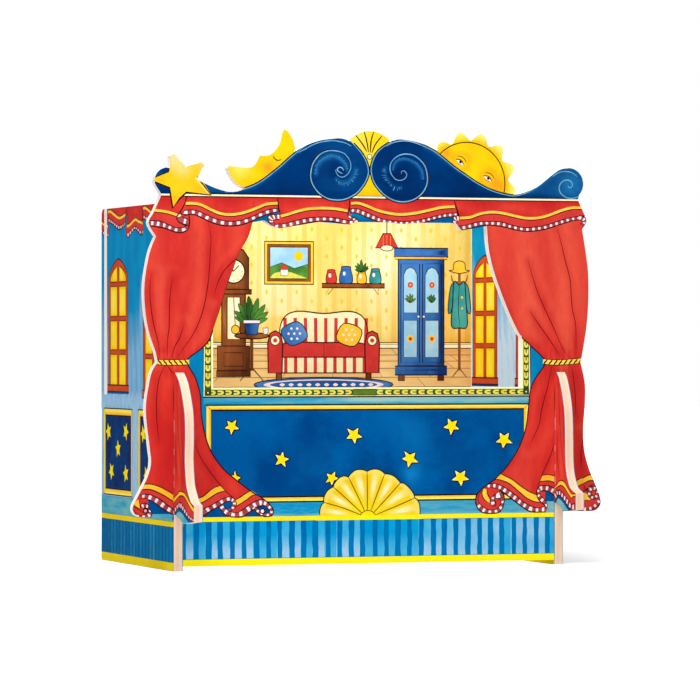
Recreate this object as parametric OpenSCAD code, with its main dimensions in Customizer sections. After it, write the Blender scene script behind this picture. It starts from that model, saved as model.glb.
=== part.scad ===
// Finger puppet theatre of four printed plywood boards that slot together.
// X runs across the stage, Y from the audience to the back, Z up from the table.
// The origin is the middle of the footprint, on the table.

/* [Boards] */
// Thickness of every board with its printed sheets
board_t = 8; // [6:0.5:11]
// Thickness of one printed sheet
print_t = 0.3; // [0.2:0.05:0.5]
// Gap left on each side where boards slot together
fit_gap = 0.3; // [0.2:0.05:0.5]
// Gap between the table and what hangs just above it
floor_gap = 0.4; // [0.3:0.1:0.8]

/* [Stage] */
// Distance between the inner faces of the wings
stage_w = 336; // [324:1:360]
// Sideways place of the opening and of the centre ornaments
art_x = -2; // [-4:0.5:4]
// Width of the opening between its jambs
opening_w = 279; // [262:1:290]
// Height of the opening's sill
sill_z = 153; // [148:1:160]
// Height of the opening's straight top edge
head_z = 293; // [285:1:300]
// How far the left curtain hangs into the opening at the top
left_drape = 34.6; // [30:0.2:39]
// How far the right curtain hangs into the opening at the top
right_drape = 32.3; // [28:0.1:37]

/* [Front board] */
// Height of the bottom edge
base_z = 4; // [2:0.5:8]
// Height of the curtains' hems
hem_z = 45.5; // [42:0.5:50]
// Height of the curtains' tie bands
tie_z = 174.5; // [168:0.5:182]
// Height of the rail that the crest stands on
rail_z = 314; // [308:1:322]

/* [Crest] */
// Height of the big waves above the rail
wave_h = 49.5; // [44:0.5:56]
// Radius of the big scrolls
volute_r = 27; // [22:0.5:28]
// Distance between the centres of the big scrolls
volute_gap = 57; // [54:0.5:64]
// Radius of the small scroll on the left
left_scroll_r = 10.5; // [9:0.5:13]
// Distance of its centre outside the middle of the left wing
left_scroll_out = 10; // [8:0.5:13]
// Height of its lowest point above the rail
left_scroll_rise = 1.5; // [0:0.1:3]
// Radius of the small scroll on the right
right_scroll_r = 13.5; // [11:0.5:15]
// Distance of its centre outside the middle of the right wing
right_scroll_out = 9.2; // [7:0.2:12]
// Height of its lowest point above the rail
right_scroll_rise = 0.5; // [0:0.1:2]
// Height of the fan's top above the rail
fan_h = 56; // [52:0.5:62]
// Radius of the fan's round top
fan_r = 25.6; // [22:0.2:30]
// Half of the fan's width
fan_half_w = 17.7; // [14:0.1:20]
// Distance of the star's centre inside the middle of the left wing
star_in = 3; // [1:0.5:5]
// Height of the star's centre above the rail
star_rise = 11.5; // [9:0.5:14]
// Outer radius of the star
star_r = 23.5; // [20:0.5:27]
// Radius of the star's inner corners
star_inner_r = 12.4; // [10:0.2:14]
// Distance of the sun's centre to the right of the ornaments' middle
sun_right = 90.5; // [84:0.5:97]
// Height of the sun's centre above the rail
sun_rise = 13.6; // [12:0.2:18]
// Radius of the sun between its rays
sun_r = 36; // [32:0.5:40]
// Length of the sun's rays
ray_l = 7.5; // [5:0.5:10]
// Number of rays round the whole sun
ray_count = 13; // [11:1:15]
// Distance of the moon's middle to the left of the ornaments' middle
moon_left = 96; // [90:0.5:102]
// Height of the moon's middle above the rail
moon_rise = 27; // [22:0.5:30]

/* [Wings] */
// Depth of a wing behind the front face
wing_d = 208; // [195:1:225]
// Height of a wing
wing_h = 308; // [300:1:313]
// Radius of a wing's rear top corner
corner_r = 6; // [3:0.5:7]
// Height at which the front board hooks on
hook_z = 151.2; // [146:0.5:158]
// Height of the hook's tongue above that
hook_h = 14.5; // [10:0.5:20]
// Thickness of the hook's tongue at its top
tongue_t = 4; // [3:0.5:5]
// Reach of the curtain shaped fin in front of the front board
fin_reach = 54; // [46:1:60]
// Height of the fin's lowest point
fin_z = 41; // [38:0.5:44]
// How much less the right fin reaches
right_fin_less = 8.4; // [4:0.2:12]
// How much higher the right fin ends
right_fin_up = 5.5; // [2:0.5:8]

/* [Backdrop] */
// Width of the wing that is left behind the backdrop's slot
rear_w = 7.7; // [6:0.1:20]
// Height of the bottom of the backdrop's slots
slot_z = 145; // [135:1:160]

/* [Hidden] */

curve_steps = 5;
front_y = (fin_reach - wing_d) / 2;
wing_x = (stage_w + board_t) / 2;
core_t = board_t - print_t;
backdrop_y = wing_d - rear_w - fit_gap - board_t;
ply = [0.93, 0.85, 0.70];
curtain_red = [0.87, 0.20, 0.17];
wall_blue = [0.10, 0.55, 0.75];
room_yellow = [0.93, 0.80, 0.50];

// One point of a smooth curve that runs from b to c, with a and d as its neighbours
function curve_point(a, b, c, d, t) =
    0.5 * (2 * b + (c - a) * t + (2 * a - 5 * b + 4 * c - d) * t ^ 2 + (3 * b - a - 3 * c + d) * t ^ 3);

// A smooth curve through all the points
function curve(p, last = true) = concat(
    [for (i = [0 : len(p) - 2], k = [0 : curve_steps - 1])
        curve_point(p[max(i - 1, 0)], p[i], p[i + 1], p[min(i + 2, len(p) - 1)], k / curve_steps)],
    last ? [p[len(p) - 1]] : []);

// An arc about c, from one angle to another
function arc(c, r, from, to, steps) = [
    for (i = [0 : steps])
        let (a = from + (to - from) * i / steps)
        c + r * [cos(a), sin(a)]
];

// Points given as a distance from x and a share of the height between low and high
function hang(x, low, high, points) = [for (p = points) [x + p[0], low + p[1] * (high - low)]];

// Points given as shares of how far a curtain hangs into the opening, and of the height
function drape(x, reach, low, high, points) =
    [for (p = points) [x + p[0] * reach, low + p[1] * (high - low)]];

function backwards(p) = [for (i = [len(p) - 1 : -1 : 0]) p[i]];

// The left edge of the front board, from the rail down to the hem
function left_edge() = concat(
    curve(hang(-wing_x, tie_z, rail_z, [[-14.6, 1], [-21, 0.9], [-25.8, 0.83], [-19.4, 0.75]]), false),
    curve(hang(-wing_x, tie_z, rail_z,
        [[-19.4, 0.75], [-25, 0.65], [-29.4, 0.47], [-28.8, 0.31], [-25.5, 0.18], [-19.7, 0.06], [-18, 0]]),
        false),
    curve(hang(-wing_x, hem_z, tie_z,
        [[-18, 1], [-22.2, 0.95], [-25.2, 0.87], [-28.2, 0.69], [-24.8, 0.45], [-23.6, 0.35], [-26.6, 0.26],
            [-34, 0.15], [-39.5, 0.06], [-35.5, 0.01], [-26.3, 0]])));

// The right edge of the front board, from the rail down to the hem
function right_edge() = concat(
    curve(hang(wing_x, tie_z, rail_z, [[17.7, 1], [22.5, 0.93], [25.6, 0.87], [21.6, 0.82]]), false),
    curve(hang(wing_x, tie_z, rail_z,
        [[21.6, 0.82], [24.5, 0.7], [27.2, 0.56], [27.6, 0.4], [26, 0.23], [21.8, 0.05], [20, 0]]),
        false),
    curve(hang(wing_x, hem_z, tie_z,
        [[20, 1], [24.2, 0.86], [24.3, 0.72], [22.8, 0.55], [23.8, 0.41], [28, 0.29], [33.1, 0.2],
            [39.4, 0.07], [35.5, 0.01], [28, 0]])));

// Centres of the scrolls, on side -1 or 1
function volute(side) = [art_x + side * volute_gap / 2, rail_z + wave_h - volute_r];
left_scroll = [-wing_x - left_scroll_out, rail_z + left_scroll_r + left_scroll_rise];
right_scroll = [wing_x + right_scroll_out, rail_z + right_scroll_r + right_scroll_rise];

// The top of a wave, as shares of the way from its small scroll to its big one and of its height
function wave(scroll, side, points) = curve([
    for (p = points) [scroll[0] + p[0] * (volute(side)[0] - scroll[0]), rail_z + p[1] * wave_h]
]);

function left_wave() = wave(left_scroll, -1,
    [[0, (left_scroll_r * 2 + left_scroll_rise) / wave_h], [0.1, 0.37], [0.2, 0.22], [0.3, 0.1],
        [0.39, 0.06], [0.48, 0.15], [0.57, 0.32], [0.66, 0.55], [0.76, 0.79], [0.87, 0.94], [1, 1]]);

function right_wave() = wave(right_scroll, 1,
    [[0, (right_scroll_r * 2 + right_scroll_rise) / wave_h], [0.06, 0.52], [0.12, 0.39],
        [0.2, 0.21], [0.32, 0.08], [0.43, 0.14], [0.57, 0.32], [0.65, 0.5], [0.73, 0.71],
        [0.82, 0.87], [0.91, 0.96], [1, 1]]);

// Curtains and waves in one closed line, anticlockwise from the left hem
module curtains_and_waves() {
    polygon(concat(
        left_edge(),
        backwards(right_edge()),
        arc(right_scroll, right_scroll_r, -45, 80, 10),
        right_wave(),
        arc(volute(1), volute_r, 97, 160, 6),
        arc(volute(-1), volute_r, 20, 83, 6),
        backwards(left_wave()),
        arc(left_scroll, left_scroll_r, 100, 220, 10)));
}

// The part of the board that stands between the wings, under the curtains
module base_panel() {
    half_w = stage_w / 2 - fit_gap;
    translate([-half_w, base_z]) square([2 * half_w, hem_z - base_z + 1]);
}

// The fan on top between the big scrolls
module fan() {
    intersection() {
        translate([art_x, rail_z + fan_h - fan_r]) circle(r = fan_r, $fn = 64);
        translate([art_x - fan_half_w, rail_z]) square([2 * fan_half_w, 2 * fan_h]);
    }
}

// The star over the left scroll, with blunt tips
module star() {
    blunt = 4;
    first_tip = 111;
    centre = [-wing_x + star_in, rail_z + star_rise];
    polygon([for (k = [0 : 4], p = [[star_r, -blunt], [star_r, blunt], [star_inner_r, 36]])
        let (a = first_tip + 72 * k + p[1]) centre + p[0] * [cos(a), sin(a)]]);
}

// The sun that rises behind the right wave, with round rays
module sun() {
    centre = [art_x + sun_right, rail_z + sun_rise];
    first_ray = 18.5;
    polygon([for (a = [-18 : 3 : 198])
        let (r = sun_r + ray_l * pow(0.5 + 0.5 * cos(ray_count * (a - first_ray)), 0.8))
        centre + r * [cos(a), sin(a)]]);
}

// The moon that leans on the left wave, with a face in profile
module moon() {
    translate([art_x - moon_left, rail_z + moon_rise]) polygon(concat(
        curve([[-2.5, 6.6], [-4.8, 1.9], [-8.7, -2.5], [-15.5, -3.7], [-22.8, -3], [-29.5, -2.6],
            [-30.7, -4]], false),
        curve([[-30.7, -4], [-27.3, -11.4], [-19.9, -18.7], [-2, -22], [20, -6], [29.2, 13]], false),
        curve([[29.2, 13], [27.5, 19.2], [24.1, 25.5], [20, 28.9], [17.8, 26.5], [16.1, 18.9],
            [12.7, 13], [8.2, 8.6], [2.6, 6.8], [-2.5, 6.6]], false)));
}

// The opening under the valance, between the curtains' inner edges
module opening() {
    left = art_x - opening_w / 2;
    right = art_x + opening_w / 2;
    hem_left = left + left_drape;
    hem_span = right - right_drape - hem_left;
    polygon(concat(
        [[left, sill_z], [right, sill_z]],
        curve(drape(right, -right_drape, sill_z, head_z,
            [[0, 0.31], [0.108, 0.34], [0.35, 0.45], [0.607, 0.59], [0.814, 0.72], [0.947, 0.85],
                [1, 0.985]]),
            false),
        [for (p = [[1, -2.1], [0.98, -3], [0.89, -6.2], [0.865, 0], [0.7, 0], [0.64, -1.4], [0.58, 0],
            [0.434, 0], [0.41, -2.2], [0.28, -0.3], [0.114, -6.2], [0.08, -3.8], [0.05, 0.5]])
            [hem_left + p[0] * hem_span, head_z + p[1]]],
        curve(drape(left, left_drape, sill_z, head_z,
            [[1, 0.99], [0.887, 0.9], [0.671, 0.81], [0.494, 0.7], [0.321, 0.59], [0.188, 0.48],
                [0, 0.35]]))));
}

// The slots that take the wings' fins, open at the hems
module fin_slots() {
    slot_w = board_t + 2 * fit_gap;
    for (side = [-1, 1])
        translate([side * wing_x - slot_w / 2, base_z - 1])
            square([slot_w, hook_z + fit_gap - base_z + 1]);
}

module front_outline() {
    difference() {
        union() {
            curtains_and_waves();
            base_panel();
            fan();
            star();
            sun();
            moon();
        }
        opening();
        fin_slots();
    }
}

// Points given as shares of a fin's reach and of its height from low up to the hook's top
function fin_points(reach, low, points) =
    [for (p = points) [-p[0] * reach, low + p[1] * (hook_z + hook_h - low)]];

// The edge of a fin, from the hook's top down to its lowest point and back to the front face
function fin_edge(reach, low, points) = concat(
    curve(concat([[-tongue_t, hook_z + hook_h]], fin_points(reach, low, points))),
    fin_points(reach, low, [[1, 0.02], [0.5, 0], [0.26, 0.033], [0, 0.06]]));

function left_fin() = fin_edge(fin_reach, fin_z,
    [[0.28, 0.93], [0.45, 0.815], [0.545, 0.71], [0.565, 0.56], [0.546, 0.42], [0.607, 0.275],
        [0.7, 0.21], [0.85, 0.15], [1, 0.127]]);

function right_fin() = fin_edge(fin_reach - right_fin_less, fin_z + right_fin_up,
    [[0.197, 0.96], [0.296, 0.893], [0.384, 0.814], [0.45, 0.73], [0.482, 0.629], [0.496, 0.508],
        [0.504, 0.398], [0.537, 0.302], [0.625, 0.227], [0.746, 0.172], [1, 0.137]]);

// A wing seen from its side, with the front face at zero
module wing_outline(side) {
    rear_of_slot = wing_d - rear_w;
    polygon(concat(
        [[0, 0], [wing_d, 0]],
        arc([wing_d - corner_r, wing_h - corner_r], corner_r, 0, 90, 8),
        [[rear_of_slot, wing_h], [rear_of_slot, slot_z], [backdrop_y - fit_gap, slot_z],
            [backdrop_y - fit_gap, wing_h], [board_t + fit_gap, wing_h], [board_t + fit_gap, hook_z],
            [-fit_gap, hook_z], [-fit_gap, hook_z + hook_h]],
        side < 0 ? left_fin() : right_fin()));
}

// An upright sheet across the stage, from y backwards
module across(y, t) {
    translate([0, front_y + y + t, 0]) rotate([90, 0, 0]) linear_extrude(t) children();
}

// An upright sheet along the side of the stage, from x to the right
module along(x, t) {
    translate([x, front_y, 0]) rotate([90, 0, 90]) linear_extrude(t) children();
}

// A wing's printed sheet stops a little above the table
module wing_print_outline(side) {
    difference() {
        wing_outline(side);
        translate([-1, -1]) square([wing_d + 2, 1 + floor_gap]);
    }
}

// The backdrop lies in both slots and ends at the wings' outer faces
module backdrop_outline() {
    half_w = stage_w / 2 + board_t;
    translate([-half_w, slot_z + fit_gap]) square([2 * half_w, wing_h - slot_z - fit_gap]);
}

module front_board() {
    color(ply) across(print_t, core_t) front_outline();
}

module front_print() {
    color(curtain_red) across(0, print_t) front_outline();
}

// The plywood of a wing, between its two printed sheets
module wing_board(side) {
    color(ply) along(side * wing_x - board_t / 2 + print_t, board_t - 2 * print_t) wing_outline(side);
}

// A wing's printed sheet, on the face that looks towards -1 or 1
module wing_print(side, face) {
    edge = side * wing_x + face * board_t / 2;
    color(wall_blue) along(face < 0 ? edge : edge - print_t, print_t) wing_print_outline(side);
}

module left_wing_board() {
    wing_board(-1);
}

module left_wing_outer_print() {
    wing_print(-1, -1);
}

module left_wing_inner_print() {
    wing_print(-1, 1);
}

module right_wing_board() {
    wing_board(1);
}

module right_wing_outer_print() {
    wing_print(1, 1);
}

module right_wing_inner_print() {
    wing_print(1, -1);
}

module backdrop_board() {
    color(ply) across(backdrop_y + print_t, core_t) backdrop_outline();
}

module backdrop_print() {
    color(room_yellow) across(backdrop_y, print_t) backdrop_outline();
}

front_board();
front_print();
left_wing_board();
left_wing_outer_print();
left_wing_inner_print();
right_wing_board();
right_wing_outer_print();
right_wing_inner_print();
backdrop_board();
backdrop_print();
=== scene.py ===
import math
import random

import bmesh
import bpy
import numpy as np
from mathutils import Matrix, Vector, geometry


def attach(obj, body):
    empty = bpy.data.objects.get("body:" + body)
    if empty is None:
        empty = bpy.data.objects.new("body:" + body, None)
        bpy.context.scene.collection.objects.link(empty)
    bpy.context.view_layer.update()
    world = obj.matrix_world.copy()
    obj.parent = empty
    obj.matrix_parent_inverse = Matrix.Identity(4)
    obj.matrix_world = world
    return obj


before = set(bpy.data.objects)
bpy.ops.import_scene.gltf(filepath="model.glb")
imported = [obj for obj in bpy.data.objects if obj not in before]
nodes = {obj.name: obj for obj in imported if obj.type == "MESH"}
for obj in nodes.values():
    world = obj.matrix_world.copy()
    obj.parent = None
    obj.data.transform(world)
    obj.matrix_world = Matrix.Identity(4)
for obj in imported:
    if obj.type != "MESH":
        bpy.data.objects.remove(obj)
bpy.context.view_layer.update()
print("frame loaded")


# An eight-bit colour as the linear one that a shader takes
def rgb(red, green, blue):
    def linear(value):
        value /= 255
        return value / 12.92 if value <= 0.04045 else ((value + 0.055) / 1.055) ** 2.4

    return (linear(red), linear(green), linear(blue), 1.0)


# Shader groups

def newGroup(name, inputs, outputs):
    group = bpy.data.node_groups.new(name, "ShaderNodeTree")
    for label, kind, value in inputs:
        socket = group.interface.new_socket(label, in_out="INPUT", socket_type="NodeSocket" + kind)
        if value is not None:
            socket.default_value = value
    for label, kind in outputs:
        group.interface.new_socket(label, in_out="OUTPUT", socket_type="NodeSocket" + kind)
    return group, group.nodes.new("NodeGroupInput"), group.nodes.new("NodeGroupOutput")


def add(tree, kind, links=(), **settings):
    made = tree.nodes.new("ShaderNode" + kind)
    for key, value in settings.items():
        setattr(made, key, value)
    for socket, source in dict(links).items():
        if isinstance(source, bpy.types.NodeSocket):
            tree.links.new(source, made.inputs[socket])
        else:
            made.inputs[socket].default_value = source
    return made


def blendColors(tree, factor, first, second, mode="MIX"):
    made = tree.nodes.new("ShaderNodeMix")
    made.data_type, made.blend_type = "RGBA", mode
    for socket, source in ((0, factor), (6, first), (7, second)):
        if isinstance(source, bpy.types.NodeSocket):
            tree.links.new(source, made.inputs[socket])
        else:
            made.inputs[socket].default_value = source
    return made.outputs[2]


# Watercolour: two tones in blotches, deepened or brightened by the shade of each vertex
def washGroup():
    white = (1.0, 1.0, 1.0, 1.0)
    tree, given, out = newGroup(
        "wash",
        [("Light", "Color", white), ("Dark", "Color", white), ("Deep", "Color", white), ("Bright", "Color", white),
            ("Stretch", "Vector", (40, 40, 30)), ("Strength", "Float", 0.8), ("Shading", "Float", 1.0)],
        [("Color", "Color"), ("Height", "Float")])
    coord = add(tree, "TexCoord").outputs["Object"]
    scaled = add(tree, "VectorMath", {0: coord, 1: given.outputs["Stretch"]}, operation="MULTIPLY").outputs[0]
    blotch = add(tree, "TexNoise", {"Vector": scaled, "Scale": 1.0, "Detail": 5.0, "Roughness": 0.62}).outputs[0]
    spread = add(tree, "MapRange", {0: blotch, 1: 0.34, 2: 0.66}, interpolation_type="SMOOTHSTEP").outputs[0]
    amount = add(tree, "Math", {0: spread, 1: given.outputs["Strength"]}, operation="MULTIPLY").outputs[0]
    color = blendColors(tree, amount, given.outputs["Light"], given.outputs["Dark"])
    shade = add(tree, "Attribute", attribute_name="shade").outputs["Fac"]
    rough = add(tree, "TexNoise", {"Vector": scaled, "Scale": 5.0, "Detail": 4.0, "Roughness": 0.7}).outputs[0]
    uneven = add(tree, "MapRange", {0: rough, 1: 0.3, 2: 0.7, 3: 0.72, 4: 1.18}).outputs[0]
    strength = add(tree, "Math", {0: given.outputs["Shading"], 1: uneven}, operation="MULTIPLY").outputs[0]
    signed = add(tree, "Math", {0: shade, 1: strength}, operation="MULTIPLY").outputs[0]
    deepen = add(tree, "Math", {0: signed, 1: 1.0}, operation="MULTIPLY", use_clamp=True).outputs[0]
    brighten = add(tree, "Math", {0: signed, 1: -1.0}, operation="MULTIPLY", use_clamp=True).outputs[0]
    color = blendColors(tree, deepen, color, given.outputs["Deep"])
    color = blendColors(tree, brighten, color, given.outputs["Bright"])
    grain = add(tree, "TexNoise", {"Vector": coord, "Scale": 1600.0, "Detail": 2.0}).outputs[0]
    level = add(tree, "MapRange", {0: grain, 1: 0.3, 2: 0.7, 3: 0.955, 4: 1.045}).outputs[0]
    final = add(tree, "VectorMath", {0: color, "Scale": level}, operation="SCALE").outputs[0]
    tree.links.new(final, out.inputs["Color"])
    tree.links.new(grain, out.inputs["Height"])
    return tree


# Plywood: grain on the face, five plies with their glue lines on the edges
def plyGroup():
    tree, given, out = newGroup(
        "ply",
        [("Across", "Vector", (0, 1, 0)), ("Along", "Vector", (30, 400, 400)), ("Start", "Float", 0.0),
            ("Thickness", "Float", 0.008), ("Tint", "Color", (1.0, 1.0, 1.0, 1.0))],
        [("Color", "Color"), ("Height", "Float")])
    coords = add(tree, "TexCoord")
    coord = coords.outputs["Object"]
    depth = add(tree, "VectorMath", {0: coord, 1: given.outputs["Across"]}, operation="DOT_PRODUCT").outputs["Value"]
    inside = add(tree, "Math", {0: depth, 1: given.outputs["Start"]}, operation="SUBTRACT").outputs[0]
    part = add(tree, "Math", {0: inside, 1: given.outputs["Thickness"]}, operation="DIVIDE").outputs[0]
    waver = add(tree, "TexNoise", {"Vector": coord, "Scale": 60.0, "Detail": 2.0}).outputs[0]
    shifted = add(tree, "MapRange", {0: waver, 3: -0.012, 4: 0.012}).outputs[0]
    layered = add(tree, "Math", {0: part, 1: shifted}, operation="ADD").outputs[0]
    plies = add(tree, "Math", {0: layered, 1: 5.0}, operation="MULTIPLY").outputs[0]
    phase = add(tree, "Math", {0: plies, 1: 2.0}, operation="PINGPONG").outputs[0]
    cross = add(tree, "MapRange", {0: phase, 1: 0.93, 2: 1.07}).outputs[0]
    whole = add(tree, "Math", {0: plies}, operation="FRACT").outputs[0]
    middle = add(tree, "Math", {0: whole, 1: 0.5}, operation="SUBTRACT").outputs[0]
    edge = add(tree, "Math", {0: middle}, operation="ABSOLUTE").outputs[0]
    glue = add(tree, "MapRange", {0: edge, 1: 0.44, 2: 0.5}).outputs[0]
    grainCoord = add(tree, "VectorMath", {0: coord, 1: given.outputs["Along"]}, operation="MULTIPLY").outputs[0]
    fibre = add(tree, "TexNoise", {"Vector": grainCoord, "Scale": 1.0, "Detail": 6.0, "Roughness": 0.6,
        "Distortion": 0.4}).outputs[0]
    pores = add(tree, "TexNoise", {"Vector": coord, "Scale": 900.0, "Detail": 3.0}).outputs[0]
    fibres = add(tree, "MapRange", {0: fibre, 1: 0.35, 2: 0.7}).outputs[0]
    face = blendColors(tree, fibres, rgb(247, 232, 205), rgb(231, 205, 165))
    porous = add(tree, "MapRange", {0: pores, 1: 0.35, 2: 0.65}).outputs[0]
    pale = blendColors(tree, porous, rgb(255, 247, 240), rgb(253, 241, 231))
    dark = blendColors(tree, porous, rgb(251, 238, 226), rgb(246, 230, 214))
    edges = blendColors(tree, cross, pale, dark)
    lined = blendColors(tree, glue, edges, rgb(238, 218, 200))
    normal = add(tree, "VectorMath", {0: coords.outputs["Normal"], 1: given.outputs["Across"]},
        operation="DOT_PRODUCT").outputs["Value"]
    flat = add(tree, "Math", {0: normal}, operation="ABSOLUTE").outputs[0]
    onFace = add(tree, "MapRange", {0: flat, 1: 0.85, 2: 0.95}).outputs[0]
    color = blendColors(tree, 1.0, blendColors(tree, onFace, lined, face), given.outputs["Tint"], "MULTIPLY")
    tree.links.new(color, out.inputs["Color"])
    tree.links.new(fibre, out.inputs["Height"])
    return tree


wash, ply = washGroup(), plyGroup()


def finishMaterial(name, group, settings, rough, bump, specular=0.12):
    material = bpy.data.materials.new(name)
    material.use_nodes = True
    tree = material.node_tree
    shader = tree.nodes["Principled BSDF"]
    source = tree.nodes.new("ShaderNodeGroup")
    source.node_tree = group
    for key, value in settings.items():
        source.inputs[key].default_value = value
    tree.links.new(source.outputs["Color"], shader.inputs["Base Color"])
    relief = add(tree, "Bump", {"Height": source.outputs["Height"], "Strength": bump, "Distance": 0.0002})
    tree.links.new(relief.outputs[0], shader.inputs["Normal"])
    shader.inputs["Roughness"].default_value = rough
    shader.inputs["Specular IOR Level"].default_value = specular
    material.diffuse_color = settings.get("Light", (0.85, 0.78, 0.65, 1))
    return material


def paint(name, light, dark=None, deep=None, bright=None, stretch=(40, 40, 28), strength=0.8):
    dark = dark or light
    stretch = stretch if isinstance(stretch, tuple) else (stretch,) * 3
    settings = {
        "Light": rgb(*light), "Dark": rgb(*dark), "Deep": rgb(*(deep or dark)), "Bright": rgb(*(bright or light)),
        "Stretch": stretch, "Strength": strength, "Shading": 1.0 if deep or bright else 0.0}
    return finishMaterial(name, wash, settings, 0.46, 0.12, 0.004)


paints = {p.name: p for p in (
    paint("ink", (28, 16, 14), (46, 26, 20)),
    paint("brownInk", (78, 38, 12), (104, 54, 16)),
    paint("foldInk", (104, 20, 20), (84, 16, 18)),
    paint("wall", (8, 134, 186), (0, 112, 166), deep=(0, 84, 136), bright=(194, 220, 244), stretch=(45, 45, 18)),
    # wingWall: the wall paint made lighter for the side wings, painted light that makes up for the dimmer light on
    # their faces
    paint("wingWall", (8, 148, 200), (0, 126, 182), deep=(0, 92, 146), bright=(196, 220, 240), stretch=(45, 45, 18)),
    paint("strip", (112, 180, 182), (24, 146, 190), deep=(0, 142, 194), bright=(176, 204, 186),
        stretch=(28, 28, 130)),
    paint("navy", (0, 88, 156), (0, 58, 120), deep=(8, 32, 84), bright=(16, 124, 188), stretch=22),
    paint("waveBlue", (0, 55, 116), (4, 40, 92), deep=(4, 24, 68), bright=(26, 108, 166), stretch=(26, 26, 40)),
    paint("waveLine", (126, 180, 202), (84, 148, 190), stretch=120),
    paint("stripeDark", (0, 116, 176), (0, 98, 162), deep=(0, 82, 142), stretch=(60, 60, 40)),
    paint("stripeMid", (10, 152, 208), (0, 138, 196), deep=(0, 92, 140), bright=(70, 175, 218), stretch=(60, 60, 30)),
    paint("stripePale", (34, 162, 212), (74, 178, 220), deep=(6, 104, 150), bright=(158, 200, 228),
        stretch=(55, 55, 34)),
    paint("stripeEdge", (8, 84, 96), (12, 60, 84)),
    paint("yellow", (250, 236, 26), (246, 224, 22), deep=(236, 198, 30), stretch=60, strength=0.7),
    paint("gold", (254, 208, 66), (248, 188, 44), deep=(240, 160, 30), stretch=90),
    paint("braid", (255, 214, 84), (250, 184, 50), stretch=120),
    paint("curtain", (217, 58, 48), (199, 42, 40), deep=(184, 28, 36), bright=(236, 94, 70), stretch=(60, 60, 22)),
    paint("hem", (216, 62, 56), (202, 52, 50), stretch=(80, 80, 60)),
    paint("mauve", (168, 76, 82), (138, 52, 60), stretch=160),
    paint("pink", (238, 176, 188), (226, 140, 158), stretch=160),
    paint("white", (252, 238, 236), (246, 222, 222), stretch=160),
    paint("cream", (255, 244, 206), (250, 232, 170), stretch=80),
    paint("starYellow", (248, 226, 24), (246, 216, 16), stretch=160),
    paint("lime", (246, 244, 196), (236, 236, 150), stretch=160),
    paint("shell", (241, 214, 34), (234, 197, 24), deep=(240, 176, 26), bright=(255, 244, 190), stretch=50),
    paint("sun", (240, 205, 14), (236, 187, 18), deep=(240, 152, 30), bright=(255, 240, 120), stretch=34),
    paint("star", (246, 200, 30), (240, 188, 26), deep=(238, 170, 20), bright=(232, 216, 144), stretch=34),
    paint("leaf", (230, 224, 100), (214, 208, 64), stretch=200),
    paint("leafGold", (234, 214, 86), (218, 194, 62), stretch=200),
    paint("green", (66, 104, 34), (34, 72, 24), stretch=120),
    paint("plaque", (100, 130, 42), (74, 106, 28), stretch=120),
    paint("frameYellow", (255, 234, 104), (250, 222, 84), stretch=60),
    paint("blush", (232, 150, 96), (240, 120, 90)),
    paint("window", (206, 80, 44), (188, 64, 38), stretch=60),
    paint("pane", (255, 224, 30), (254, 208, 12), deep=(244, 172, 16), bright=(255, 238, 110), stretch=60),
    paint("roomWall", (250, 226, 136), (245, 206, 100), deep=(232, 172, 56), bright=(255, 246, 206), stretch=26),
    paint("paperStripe", (246, 212, 112), (240, 198, 90), deep=(220, 160, 54), bright=(252, 232, 170),
        stretch=(60, 60, 20)),
    paint("plank", (254, 216, 146), (246, 200, 124), deep=(226, 168, 98), bright=(255, 234, 184),
        stretch=(22, 22, 110)),
    paint("wood", (160, 92, 48), (130, 68, 34), deep=(86, 42, 22), bright=(196, 130, 76), stretch=(90, 90, 20)),
    paint("cupboard", (66, 122, 192), (38, 92, 164), deep=(20, 54, 118), bright=(130, 182, 226),
        stretch=(50, 50, 20)),
    paint("tile", (78, 170, 166), (40, 138, 144), deep=(16, 92, 104), bright=(160, 214, 206), stretch=50),
    paint("plant", (92, 152, 58), (50, 112, 46), deep=(26, 76, 36), bright=(150, 196, 90), stretch=80),
    paint("sky", (176, 216, 236), (140, 196, 226), stretch=60),
    )}
boards = {
    "front_board": {"Across": (0, 1, 0), "Along": (26, 300, 420), "Start": -0.0767, "Thickness": 0.0077},
    "left_wing_board": {"Across": (1, 0, 0), "Along": (300, 30, 420), "Start": -0.1757, "Thickness": 0.0074,
        "Tint": rgb(239, 219, 202)},
    "right_wing_board": {"Across": (1, 0, 0), "Along": (300, 30, 420), "Start": 0.1683, "Thickness": 0.0074,
        "Tint": rgb(239, 219, 202)},
    "backdrop_board": {"Across": (0, 1, 0), "Along": (26, 300, 420), "Start": 0.1153, "Thickness": 0.0077},
}
for boardName, settings in boards.items():
    board = nodes[boardName]
    board.data.materials.clear()
    board.data.materials.append(finishMaterial(boardName.replace("_", " "), ply, settings, 0.5, 0.15))
for sheetName, base in (("front_print", "wall"), ("left_wing_outer_print", "wall"), ("left_wing_inner_print", "wall"),
        ("right_wing_outer_print", "wall"), ("right_wing_inner_print", "wall"),
        ("backdrop_print", "cream")):
    nodes[sheetName].data.materials.clear()
    nodes[sheetName].data.materials.append(paints[base])
print("materials made")


# Drawing on a face: every outline is in millimetres, across and up

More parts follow.
